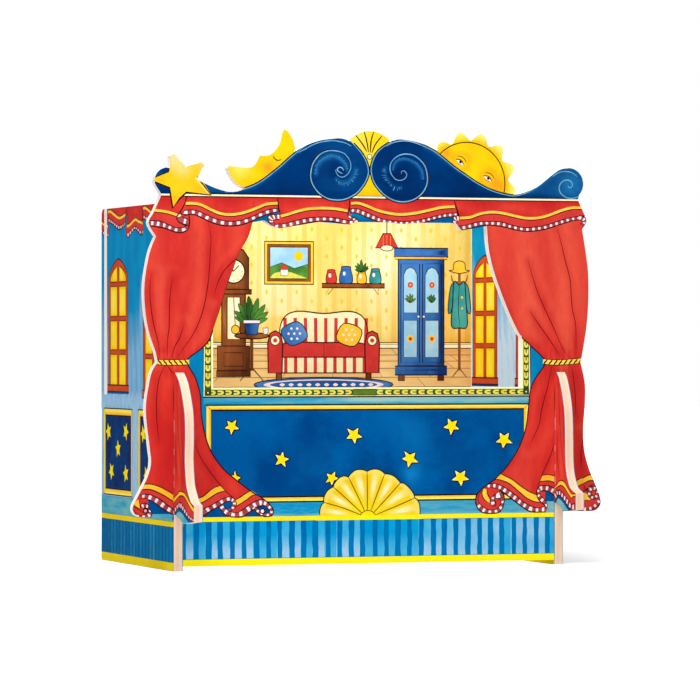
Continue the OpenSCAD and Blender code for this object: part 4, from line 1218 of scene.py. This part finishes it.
finHems = {
    "Outer": {"bandUp": [(3, 59.1), (-4, 62.5), (-10, 64.7), (-17.4, 67.5), (-28.5, 66.7), (-36.6, 63.4),
        (-43.2, 59.6), (-56, 54.1)],
        "bandLow": [(3, 55.5), (-4, 58.6), (-10, 61.3), (-19.3, 63.9), (-28.5, 63.1), (-35.9, 60), (-43.2, 55.7),
            (-56, 50.4)],
        "top": [(3, 50), (-5, 54), (-13, 57.5), (-19.3, 58.3), (-28.5, 54.6), (-35.9, 50.9), (-43.2, 47.8),
            (-56, 45.8)],
        "low": [(3, 44.8), (-4, 49), (-10, 52.2), (-15.6, 53.6), (-24.8, 51.7), (-32.2, 48.5), (-43.2, 45),
            (-56, 43.2)], "pitch": 6.0},
    "Inner": {"bandUp": [(3, 65), (-5.6, 69.1), (-9.9, 71.8), (-15.1, 72.9), (-20.3, 72.1), (-24.6, 70),
        (-28.9, 67.1), (-34.1, 63.9), (-38.3, 62), (-43.5, 62.2), (-56, 63)],
        "bandLow": [(3, 63.5), (-5.6, 66.7), (-9.9, 68), (-15.1, 68.7), (-20.3, 67.5), (-24.6, 65.3), (-28.9, 62.7),
            (-34.1, 59.8), (-37.5, 58.4), (-41.8, 60), (-56, 60.8)],
        "top": [(3, 60.5), (-3, 62.9), (-7.3, 64), (-11.7, 64.2), (-16.9, 62.6), (-22, 60.8), (-27.2, 58.3),
            (-32.4, 55.7), (-37.5, 53.2), (-42.6, 54.1), (-56, 57.5)],
        "low": [(3, 51.5), (-3, 55.4), (-6.5, 59.6), (-9.9, 60), (-15.1, 58.5), (-20.3, 56.3), (-25.5, 53.5),
            (-30.7, 50.6), (-35.8, 48.8), (-40.1, 48.1), (-56, 51.4)], "pitch": 6.0}}
finFolds = [[(-9, 158), (-11, 130), (-15, 104), (-21, 84), (-24, 74)], [(-19, 150), (-21, 122), (-26, 94), (-35, 74)],
    [(-6, 112), (-7, 92), (-11, 76)]]
finEdge = [(-6, 166.1), (-9.8, 163.8), (-24.6, 153.7), (-30.3, 108.5), (-43.2, 63.6)]
drapes = {
    "wide": {"braid": [(0, 305.1), (8, 305.2), (20, 302), (32, 299.1), (42, 299.4), (51.8, 301.4)],
        "top": [(1.3, 300.4), (17.4, 296.4), (33.4, 292.9), (44, 293.6), (53.1, 295.8)],
        "low": [(1.3, 296.1), (14.7, 293.8), (33.4, 288.6), (46.6, 291.4), (50.6, 291.4)],
        "left": [(0, 313), (1.3, 296.1)], "right": [(56, 313), (52.5, 301), (53.6, 296), (50.6, 291.4)]},
    "narrow": {"braid": [(-0.6, 291.1), (8, 292), (23.4, 296.2), (33, 294.4), (45.1, 292.6)],
        "top": [(0.1, 285.7), (9, 287.4), (20.8, 290.9), (32, 289), (42.7, 286.1), (47, 288)],
        "low": [(-2.6, 283.4), (2.7, 281.4), (10.5, 283.5), (22.1, 288), (32, 285.4), (41.4, 282.4), (46.4, 284.8),
            (47.8, 290.9)],
        "left": [(-0.6, 313), (0.2, 297), (-2.6, 291), (-2.6, 283.4)],
        "right": [(46, 313), (45.6, 297), (47.8, 290.9)]}}
windowRows = ((-29.8, -3.9), (-58.9, -33.7), (-89.4, -62.9))
wingStars = [(186.6, 113, 0.3), (135.3, 114, 0.9), (158.2, 98.6, 0.1), (177.7, 78.6, 0.5), (135.3, 77.6, 0.2)]


def archLine(centre, wide, spring, rise):
    shape = ((1, -0.1), (0.95, 0.27), (0.68, 0.63), (0.35, 0.87), (0, 1), (-0.35, 0.88), (-0.72, 0.62), (-0.95, 0.3),
        (-1, -0.1))
    return smooth([(centre + x * wide, spring + z * rise) for x, z in shape], 3)


def windowShapes(centre, spring):
    low = spring - 89.6
    outer = [(centre + 28.7, low)] + archLine(centre, 28.7, spring, 20.0) + [(centre - 28.7, low)]
    inner = archLine(centre, 22.8, spring + 1.2, 12.8)
    shapes = [("brownInk", [(x, z - 1.2) for x, z in outer]), ("window", outer)] + stroke("ink", outer, 0.9, taper=0)
    for side in (1, -1):
        edge, mid = centre + side * 22.8, centre + side * 2.7
        half = [p for p in inner if (p[0] - mid) * side > 0]
        lunette = sorted([(mid, spring + 14.0)] + half, key=lambda p: p[0] * side) + [(edge, spring), (mid, spring)]
        shapes += [("pane", lunette)] + stroke("brownInk", lunette, 0.8, True)
        for bottom, top in windowRows:
            pane = corners(min(edge, mid), max(edge, mid), spring + bottom, spring + top)
            shapes += [("pane", pane)] + stroke("brownInk", pane, 0.9, True)
    sill = corners(centre - 31.5, centre + 31.5, low - 5.8, low)
    return shapes + [("navy", [(x, z - 1.8) for x, z in sill]), ("window", sill)] + stroke("ink", sill, 0.8, True)


wing = {
    "across": (-60, 212), "foot": (-2, 7.6), "stripes": (-56, 210, 7.2, 37.0, 9.4, (3, 4.6)), "rail": (36.9, 41.5),
    "strip": (41, 56.5), "lines": ((7.4, 0.6), (36.9, 0.6), (41.5, 0.5)), "panels": (0, -101.8),
    "frame": (116.7, 201.1, 58.3, 133.4), "field": (120.2, 194.9, 63.5, 127.4), "starSize": 8.4,
    "windows": {"Outer": (157.9, 56.2), "Inner": (159.9, 58)}, "spring": 243.5, "rightInnerSpring": 249.2,
    "drapes": ((233.9, "narrow"), (188.9, "wide"), (86.4, "wide"), (131.9, "narrow"), (29.4, "narrow")),
    "drapeFolds": (134.5, 86.6, 32.0), "rightFinReach": 0.78,
}


def wingArt(side, face):
    inside = face == "Inner"
    name, title = side + face, side + "_wing_" + face.lower()
    spring = wing["rightInnerSpring"] if name == "rightInner" else wing["spring"]
    centres = wing["windows"][face]
    front, rear = wing["across"]
    # The wing wall is laid in the lighter wall paint, painted light for the dimmer side faces
    shapes = box("wingWall", front, rear, -2, 312) + box("strip", front, rear, *wing["strip"])
    shapes += box("yellow", front, rear, *wing["foot"]) + stripes(*wing["stripes"])
    shapes += box("yellow", front, rear, *wing["rail"])
    for z, width in wing["lines"]:
        shapes += stroke("stripeEdge", [(front, z), (rear, z)], width)
    for shift in wing["panels"]:
        shapes += mitredFrame(*[(left + shift, right + shift, low, high)
            for left, right, low, high in (wing["frame"], wing["field"])])
        for x, z, turn in wingStars:
            shapes += starShapes(starOutline((x + shift, z), wing["starSize"], turn, 1)[::2], "leaf")

    def wallTone(x, z):
        if z < wing["rail"][1]:
            return 0.6 + 0.3 * clamp((x - 20) / 150) if z > 8 else 0.6
        if z < 57:
            return -0.1 * inside
        if z < 146 and (z > 134 or 99.3 < x < 116.7 or x > 201.5 or x < 14.9):
            return -0.6 - 0.6 * inside
        if 63 < z < 128:
            return 0.8 - 0.8 * inside + 0.25 * math.sin(x * 0.07) * math.cos(z * 0.06)
        beside = 36 * (bump(x, 91, 7) + bump(x, 197, 9))
        pale = clamp((268 + beside - z) / 84 if inside else (228 + beside - z) / 48)
        streak = 0.9 + 0.18 * math.sin(x * 0.45 + 2 * math.sin(z * 0.05))
        return 0.1 - pale * streak * (0.52 + 0.88 * inside) + 0.4 * clamp((z - 284) / 14)

    lay(title + "_wall_art", name, 1, shapes, wallTone, 4.0)
    drop = 0 if inside else 3.5
    shapes = windowShapes(centres[0], spring) + windowShapes(centres[1], spring - drop)

    def glow(x, z):
        z += drop * (x < 107)
        edges = [abs(abs(x - c) - e) for c in centres for e in (2.7, 22.8)]
        edges += [abs(z - spring - e) for row in windowRows for e in row] + [abs(z - spring)] * (z < spring + 5)
        if z > spring + 3:
            edges += [abs(math.dist((x, z), (c, spring - 4)) - 20) for c in centres]
        edge = min(edges)
        return 0.95 * math.exp(-edge / 1.6) - (0.7 if z > spring - 34 else 0.3) * (1 - math.exp(-edge / 5.0))

    lay(title + "_window_art", name, 2, shapes, glow, 2.6)
    shapes = box("curtain", -60, 212, 300, 313)
    for end, kind in wing["drapes"]:
        shapes += drape({key: [(end - x, z) for x, z in line] for key, line in drapes[kind].items()})
    for x in wing["drapeFolds"]:
        shapes += sweep("ink", [(x + 0.4, 306), (x, 300), (x + 1.6, 295), (x + 5.5, 292.4)], 0.6)
    if not inside:
        lay(title + "_valance_art", name, 3, shapes, lambda x, z: 0.3 * math.sin(x * 0.16) + 0.2, 3.5)
    hemPart = finHems[face]
    foot = [(x, max(z - 3.0, 41.8)) for x, z in hemPart["low"]]
    shapes = box("strip", -60, 4, 41.5, 60) + [("navy", smooth(foot) + [(-60, 60), (4, 62)])]
    shapes += [("curtain", [(4, 170), (-60, 170)] + smooth(hemPart["low"])[::-1])] + hem(hemPart)
    for fold in finFolds:
        shapes += sweep("foldInk", fold, 0.6, taper=0.8)
    # Painted highlight: a pale line and white dashes at the fin's root stand in for the lit edge of the front board's
    # slot
    shapes += stroke("pink", [(-1.4, 60), (-1.4, 132)], 0.6)
    shapes += stroke("ink", [(-1.2, 157), (-1, 144), (-1.2, 133)], 1.0, taper=0.8)
    for z in (70, 81, 97, 116, 121):
        shapes += stroke("white", [(-1.4, z), (-1.4, z + 5.5)], 1.3)
    edge = [(x * (wing["rightFinReach"] if side == "right" else 1), z) for x, z in finEdge]
    lay(title + "_fin_art", name, 2, shapes, curtainShade(finFolds, edge), 3.0)


for side in ("left", "right"):
    for face in ("Outer", "Inner"):
        wingArt(side, face)

# Backdrop: a living room, each thing drawn round its own middle

room = {
    "side": 167.4, "floor": 145.4, "wall": 184, "top": 308, "skirting": (186, 191),
    "paper": {"count": 24, "pitch": 14.2, "width": 4.6},
    "boards": (145.4, 151.5, 160, 168, 174.5, 180, 186),
    "rug": {"middle": (26, 153.5), "ovals": (("white", 57, 0.085), ("cupboard", 51, 0.075))},
}


def block(color, left, right, low, high, width=0.7):
    return outlined(color, corners(left, right, low, high), width, False)


def wide(color, x, half, low, high, width=0.7):
    return block(color, x - half, x + half, low, high, width)


def rounded(color, centre, radius, width, count=20, flat=1.0):
    return outlined(color, oval(centre, radius, count, flat), width, False)


def about(x, points):
    return [(x + a, z) for a, z in points]


def rows(color, left, right, low, high, count, width=0.35, upright=True):
    shapes = []
    for k in range(1, count):
        t = k / count
        x, z = left + (right - left) * t, low + (high - low) * t
        shapes += stroke(color, [(x, low), (x, high)] if upright else [(left, z), (right, z)], width)
    return shapes


def sprig(x, z, size, count, spread=1.3):
    shapes = []
    for k in range(count):
        turn = spread * (2 * k / (count - 1) - 1) + chance.uniform(-0.12, 0.12)
        tall = size * (1.0 - 0.25 * abs(turn) / spread) * chance.uniform(0.85, 1.1)
        c, s = math.cos(turn), math.sin(turn)
        leaf = [(x + a * tall * c + b * tall * s, z - a * tall * s + b * tall * c)
            for a, b in ((0, 0), (0.13, 0.35), (0.1, 0.75), (0, 1), (-0.1, 0.75), (-0.13, 0.35))]
        shapes += outlined("plant", leaf, 0.35)
        shapes += stroke("ink", [(x, z), (x + 0.8 * tall * s, z + 0.8 * tall * c)], 0.25)
    return shapes


def wallpaper():
    side, paper = room["side"], room["paper"]
    shapes = box("roomWall", -side, side, room["wall"], room["top"])
    for k in range(paper["count"]):
        x = -163 + paper["pitch"] * k
        shapes.append(("paperStripe", wavy(x, paper["width"], 186, room["top"], 0.3)))
        for z in range(196, 306, 16):
            cx, cz = x + paper["pitch"] / 2, z + 8 * (k % 2)
            shapes += [("gold", smooth([(cx, cz + 2.4), (cx + 1.3, cz), (cx, cz - 2.4), (cx - 1.3, cz)], 2, True))]
    return shapes


def floorBoards():
    side, boards = room["side"], room["boards"]
    shapes = box("plank", -side, side, room["floor"], boards[-1])
    for z in boards[1:-1]:
        shapes += stroke("brownInk", [(-side, z), (side, z)], 0.35, taper=0)
    for left in range(-303, 373, 54):
        for step, (low, high) in enumerate(zip(boards, boards[1:]), 1):
            ends = [(left + 13.5 * step % 27 + (20 - left) * (z - room["floor"]) / 114, z) for z in (low, high)]
            if all(abs(p[0]) < 167 for p in ends):
                shapes += stroke("wood", ends, 0.35, taper=0)
    shapes += block("cream", -167.3, 167.3, *room["skirting"], 0.6)
    return shapes + stroke("brownInk", [(-167.3, 189.4), (167.3, 189.4)], 0.3, taper=0)


def rugShapes():
    rug = room["rug"]
    shapes = rounded("cupboard", rug["middle"], 66, 0.7, 40, 0.1)
    for color, radius, flat in rug["ovals"]:
        shapes += disc(color, rug["middle"], radius, 40, flat)
    for k in range(11):
        diamond = [(-16 + 8.4 * k, 153.5), (-13.4 + 8.4 * k, 155.0), (-10.8 + 8.4 * k, 153.5),
            (-13.4 + 8.4 * k, 152.0)]
        shapes += [("white", smooth(diamond, 2, True))]
    return shapes


def roomShade(x, z):
    value = 0.55 * bump(z, 188, 9) + 0.45 * bump(abs(x), 167, 12)
    for cx, half in ((118, 25), (-59, 16), (25, 50), (-130, 34)):
        value += 0.35 * bump(max(abs(x - cx) - half, 0), 0, 5) * (150 < z < 276 - 60 * (cx == 25))
    return value - 0.8 * blot(x, z, 89, 262, 34) - 0.4 * blot(x, z, -10, 236, 40) + 0.2 * math.sin(x * 0.05)


lay("room_art", "backdrop", 1, wallpaper() + floorBoards() + rugShapes(), roomShade, 4.0)


def stove(x):
    shapes = wide("tile", x, 29, 166, 272, 0.9) + rows("ink", x - 29, x + 29, 198, 272, 5)
    shapes += rows("ink", x - 29, x + 29, 198, 272, 6, 0.35, False)
    shapes += wide("tile", x, 33, 272, 278, 0.8) + wide("tile", x, 33, 160, 168, 0.8) + wide("tile", x, 32, 194, 199)
    shapes += wide("wood", x, 13, 171, 190, 0.9)
    shapes += outlined("sun", about(x, [(-9, 174), (9, 174), (8, 182), (0, 187), (-8, 182)]))
    shapes += outlined("hem", about(x, [(-5, 175), (5, 175), (3, 180), (0, 184), (-3, 179)]), 0.4)
    for column in (-23.2, -11.6, 0, 11.6, 23.2):
        for z in (204.2, 216.5, 228.8, 241.2, 253.5, 265.8):
            shapes += [("cream", starOutline((x + column, z), 3.2, 0, 0.4, 4))]
    return shapes


def clock(x):
    hood = about(x, [(-14, 236), (14, 236), (14, 266), (9, 273), (0, 277), (-9, 273), (-14, 266)])
    shapes = wide("wood", x, 15, 163, 188, 0.9) + wide("wood", x, 11, 188, 238, 0.9) + wide("wood", x, 16, 161, 166)
    shapes += outlined("wood", hood, 0.9, False) + wide("wood", x, 17, 234, 238)
    shapes += rounded("cream", (x, 254), 10.4, 0.9, 30)
    for k in range(12):
        c, s = math.cos(k * math.pi / 6), math.sin(k * math.pi / 6)
        shapes += stroke("ink", [(x + 7.4 * c, 254 + 7.4 * s), (x + 9 * c, 254 + 9 * s)], 0.6)
    shapes += stroke("ink", [(x, 254), (x - 3.4, 257.6)], 1.0, taper=0)
    shapes += stroke("ink", [(x, 254), (x + 5, 259.4)], 0.7, taper=0)
    shapes += wide("cream", x, 6, 194, 231) + stroke("ink", [(x, 231), (x + 1.6, 205)], 0.5, taper=0)
    return shapes + rounded("gold", (x + 1.8, 202.5), 3.8, 0.6) + wide("wood", x, 9, 170, 182, 0.5)


def picture(x):
    shapes = wide("gold", x, 23, 243, 281, 0.9) + wide("wood", x, 20.4, 245.6, 278.4, 0.5)
    shapes += wide("sky", x, 18, 248, 276)
    hills = about(x, [(-18, 248), (-18, 258), (-7, 262), (5, 257), (18, 261), (18, 248)])
    field = about(x, [(-18, 248.2), (-13, 253), (-1, 254), (11, 250.5), (17.5, 248.2)])
    shapes += disc("sun", (x + 9, 268), 4.2, 20) + outlined("plant", hills, 0.4, False) + [("leaf", smooth(field))]
    shapes += outlined("hem", about(x, [(-9, 256), (0, 256), (-4.5, 261)]), 0.4, False)
    return shapes + block("white", x - 8, x - 1, 250.5, 256, 0.4)


def shelf(x):
    shapes = wide("wood", x, 30, 240, 244)
    for way in (-1, 1):
        shapes += stroke("wood", [(x + 24 * way, 240), (x + 24 * way, 234), (x + 19 * way, 240)], 1.2)
    for side, color, size in ((-21, "hem", 1.0), (-7, "cupboard", 1.25), (8, "gold", 0.9), (21, "tile", 1.1)):
        jar = [(-4 * size, 244.3), (4 * size, 244.3), (5 * size, 249), (3.6 * size, 244 + 10 * size),
            (3 * size, 244 + 12 * size), (-3 * size, 244 + 12 * size), (-3.6 * size, 244 + 10 * size),
            (-5 * size, 249)]
        middle, neck = x + side, 244 + 9.6 * size
        shapes += outlined(color, about(middle, jar), 0.6)
        shapes += disc("white", (middle - 1.4 * size, 244 + 7 * size), 1.3, 12, 1.5)
        shapes += stroke("ink", [(middle - 3.4 * size, neck), (middle + 3.4 * size, neck)], 0.4)
    return shapes + sprig(x + 8, 254, 11, 7, 1.1)


def lamp(x):
    shapes = stroke("ink", [(x, 308), (x, 288)], 0.7, taper=0)
    shapes += outlined("hem", about(x, [(-3.5, 289), (3.5, 289), (11, 276), (-11, 276)]), 0.8, False)
    return shapes + rounded("cream", (x, 276), 6, 0.6, 20, 0.45) + rows("gold", x - 7, x + 7, 277.5, 287, 4, 0.5)


def wardrobe(x):
    shapes = wide("cupboard", x, 22, 166, 268, 0.9) + wide("cupboard", x, 26, 268, 276, 0.9)
    shapes += wide("gold", x, 25, 266, 268.4, 0.5) + wide("cupboard", x, 25, 162, 170, 0.8)
    shapes += block("wood", x - 22, x - 16, 157, 162) + block("wood", x + 16, x + 22, 157, 162)
    for door in (x - 10.4, x + 10.4):
        panel = [(-6.6, 218), (6.6, 218), (6.6, 252), (4, 257), (0, 259), (-4, 257), (-6.6, 252)]
        shapes += wide("cupboard", door, 9, 173, 262, 0.7) + outlined("sky", about(door, panel), 0.6, False)
        shapes += wide("sky", door, 6.6, 178, 211, 0.6) + sprig(door, 227, 8.5, 5, 0.8)
        for color, z, radius, count in (("hem", 243, 2.6, 14), ("gold", 243, 1.0, 10), ("gold", 194.5, 3.4, 14),
                ("hem", 194.5, 1.7, 12)):
            shapes += disc(color, (door, z), radius, count)
    for knob in (x - 2.6, x + 2.6):
        shapes += rounded("white", (knob, 214.5), 1.3, 0.4, 14)
    return shapes


def coatStand(x):
    hat = [(-10, 256), (-6, 257), (-5, 263), (0, 265), (5, 263), (6, 257), (10, 256), (0, 253.6)]
    coat = [(-5, 246), (0, 243), (5, 246), (6.6, 226), (7.6, 206), (0, 204.4), (-7.6, 206), (-6.6, 226)]
    sleeve = ((4, 245), (8.6, 241), (11, 220), (8, 219), (5, 236))
    shapes = stroke("wood", [(x, 166), (x, 262)], 2.6, taper=0)
    shapes += stroke("wood", [(x - 7, 160), (x, 168), (x + 7, 160)], 1.8)
    shapes += sweep("wood", about(x, [(-8, 252), (-6, 246), (0, 246), (6, 246), (8, 252)]), 1.6)
    shapes += outlined("gold", about(x, hat), 0.6)
    for way in (1, -1):
        shapes += outlined("tile", [(x + way * a, z) for a, z in sleeve], 0.7)
    shapes += outlined("tile", about(x, coat), 0.8) + sweep("ink", about(x, [(0, 243), (-1, 222), (0.4, 206)]), 0.5)
    return shapes + disc("gold", (x + 2.6, 232), 1.1, 10) + disc("gold", (x + 2.8, 222), 1.1, 10)


def sofa(x):
    back = smooth(about(x, [(-40, 176), (-42, 200), (-37, 214), (-24, 219), (0, 217), (24, 219), (37, 214), (42, 200),
        (40, 176)]), 4)
    seat = about(x, [(-39, 176), (0, 177), (39, 176), (38, 190), (0, 191), (-38, 190)])
    shapes = block("wood", x - 45, x - 40, 158, 168) + block("wood", x + 40, x + 45, 158, 168) + [("cream", back)]
    for k in range(9):
        low = x - 37 + 9.3 * k
        high = low + (low - x) * 0.04
        shapes += [("hem", [(low, 178), (low + 3.2, 178), (high + 3.2, 213), (high, 213)])]
    shapes += stroke("ink", back, 0.9) + outlined("hem", seat, 0.8)
    shapes += stroke("ink", [(x, 176), (x, 191)], 0.6) + wide("cream", x, 42, 164, 178, 0.8)
    for k in range(9):
        shapes += box("hem", x - 37.6 + 9.3 * k, x - 34.4 + 9.3 * k, 164.5, 177.5)
    for end in (x - 46, x + 46):
        arm = about(end, [(-6.5, 164), (-7, 190), (-5, 199), (0, 201.5), (5, 199), (7, 190), (6.5, 164)])
        shapes += outlined("hem", arm, 0.9, False) + rounded("cream", (end, 193), 4.4, 0.6)
        shapes += disc("hem", (end, 193), 1.9, 14)
    for side, z, turn, color in ((-28, 199, 0.5, "cupboard"), (24, 198, -0.4, "gold")):
        angles = [turn + k * math.pi / 2 + 0.8 for k in range(4)]
        shapes += outlined(color, [(x + side + 13 * math.cos(a), z + 11 * math.sin(a)) for a in angles], 0.7)
        for k in range(7):
            spot = (x + side + 5.4 * math.cos(k * 1.05) * (k > 0), z + 5.2 * math.sin(k * 1.05) * (k > 0))
            shapes += disc("white", spot, 1.15, 10)
    return shapes


def sideTable(x):
    shapes = stroke("wood", [(x, 166), (x, 196)], 3.0, taper=0)
    shapes += stroke("wood", [(x - 11, 157), (x, 169), (x + 11, 157)], 2.0)
    shapes += rounded("wood", (x, 197), 16, 0.8, 30, 0.17)
    shapes += sprig(x, 207, 24, 9, 1.25)
    shapes += outlined("cupboard", about(x, [(-7, 210), (7, 210), (5, 198), (-5, 198)]), 0.8, False)
    shapes += wide("white", x, 7.6, 208, 211, 0.5)
    return shapes + outlined("white", about(x, [(11, 198.4), (15, 198.4), (15.6, 204), (10.4, 204)]), 0.5, False)


def furnitureShade(x, z):
    value = 0.45 * bump(z, 162, 8)
    for edge, spread in ((141, 7), (-102, 8), (-48, 6), (68, 5), (-44, 4), (139, 5)):
        value += 0.55 * bump(x, edge, spread)
    for cx, cz, size in ((103, 240, 12), (110, 190, 10), (-152, 236, 16), (-64, 252, 7), (10, 208, 12), (42, 208, 12),
            (-66, 212, 5)):
        value -= 0.6 * blot(x, z, cx, cz, size)
    return value


furniture = {stove: -131, clock: -59, picture: -7, shelf: 54, lamp: 86, wardrobe: 119, coatStand: 156, sofa: 26,
    sideTable: -42}
shapes = []
for draw, x in furniture.items():
    shapes += draw(x)
lay("furniture_art", "backdrop", 2, shapes, furnitureShade, 3.0)


# Stage, light and camera

lamps = {  # place, aim, size in metres, power in watts
    "key": ((-1.3, -3.3, 0.6), (0, 0, 0.17), 1.4, 2),
    "fill": ((-3.0, -0.6, 0.8), (0, 0, 0.15), 1.6, 11),
    "high": ((-0.5, -1.0, 1.6), (0, 0.03, 0.2), 1.3, 25.5),
    "stage": ((-0.05, -0.05, 0.7), (0.05, 0.1, 0.18), 0.35, 2.9),
}
view = {"place": (-1.2358, -3.3911, 0.18835), "turn": (89.9401, -0.0404, -20.1517), "lens": 214.72}


def makeStage():
    bm = bmesh.new()
    bmesh.ops.create_circle(bm, cap_ends=True, segments=96, radius=9.0)
    mesh = bpy.data.meshes.new("floor")
    bm.to_mesh(mesh)
    bm.free()
    floor = bpy.data.objects.new("floor", mesh)
    bpy.context.scene.collection.objects.link(floor)
    material = bpy.data.materials.new("floor")
    material.use_nodes = True
    tree = material.node_tree
    shader = tree.nodes["Principled BSDF"]
    coord = add(tree, "TexCoord").outputs["Object"]
    far = add(tree, "VectorMath", {0: coord}, operation="LENGTH").outputs["Value"]
    fade = add(tree, "MapRange", {0: far, 1: 0.28, 2: 0.85, 3: 0.5}, interpolation_type="SMOOTHSTEP").outputs[0]
    ray = add(tree, "LightPath").outputs["Is Camera Ray"]
    seen = add(tree, "Math", {0: fade, 1: ray}, operation="MULTIPLY").outputs[0]
    tree.links.new(blendColors(tree, seen, (0, 0, 0, 1), (1, 1, 1, 1)), shader.inputs["Emission Color"])
    shader.inputs["Emission Strength"].default_value = 1.0
    shader.inputs["Base Color"].default_value = rgb(250, 250, 250)
    shader.inputs["Roughness"].default_value = 0.7
    shader.inputs["Specular IOR Level"].default_value = 0.1
    mesh.materials.append(material)

    world = bpy.data.worlds.new("studio")
    world.use_nodes = True
    bpy.context.scene.world = world
    tree = world.node_tree
    background = tree.nodes["Background"]
    path = add(tree, "LightPath").outputs
    seen = add(tree, "Math", {0: path["Is Camera Ray"], 1: path["Is Glossy Ray"]}).outputs[0]
    seen = add(tree, "Math", {0: seen, 1: path["Is Transmission Ray"]}, use_clamp=True).outputs[0]
    strength = add(tree, "MapRange", {0: seen, 3: 0.3, 4: 1.0}).outputs[0]
    tree.links.new(strength, background.inputs["Strength"])
    background.inputs["Color"].default_value = (1, 1, 1, 1)

    for name, (spot, aim, size, power) in lamps.items():
        data = bpy.data.lights.new(name, "AREA")
        data.shape, data.size, data.energy = "DISK", size, power
        lamp = bpy.data.objects.new(name, data)
        lamp.visible_camera = False
        lamp.location = spot
        lamp.rotation_euler = (Vector(aim) - Vector(spot)).to_track_quat("-Z", "Y").to_euler()
        bpy.context.scene.collection.objects.link(lamp)


makeStage()
camera = bpy.data.objects.new("camera", bpy.data.cameras.new("camera"))
camera.location = view["place"]
camera.rotation_euler = [math.radians(angle) for angle in view["turn"]]
camera.data.lens, camera.data.sensor_width = view["lens"], 36
camera.data.clip_end = 60
bpy.context.scene.collection.objects.link(camera)
bpy.context.scene.camera = camera
bpy.context.scene.view_settings.view_transform = "Standard"
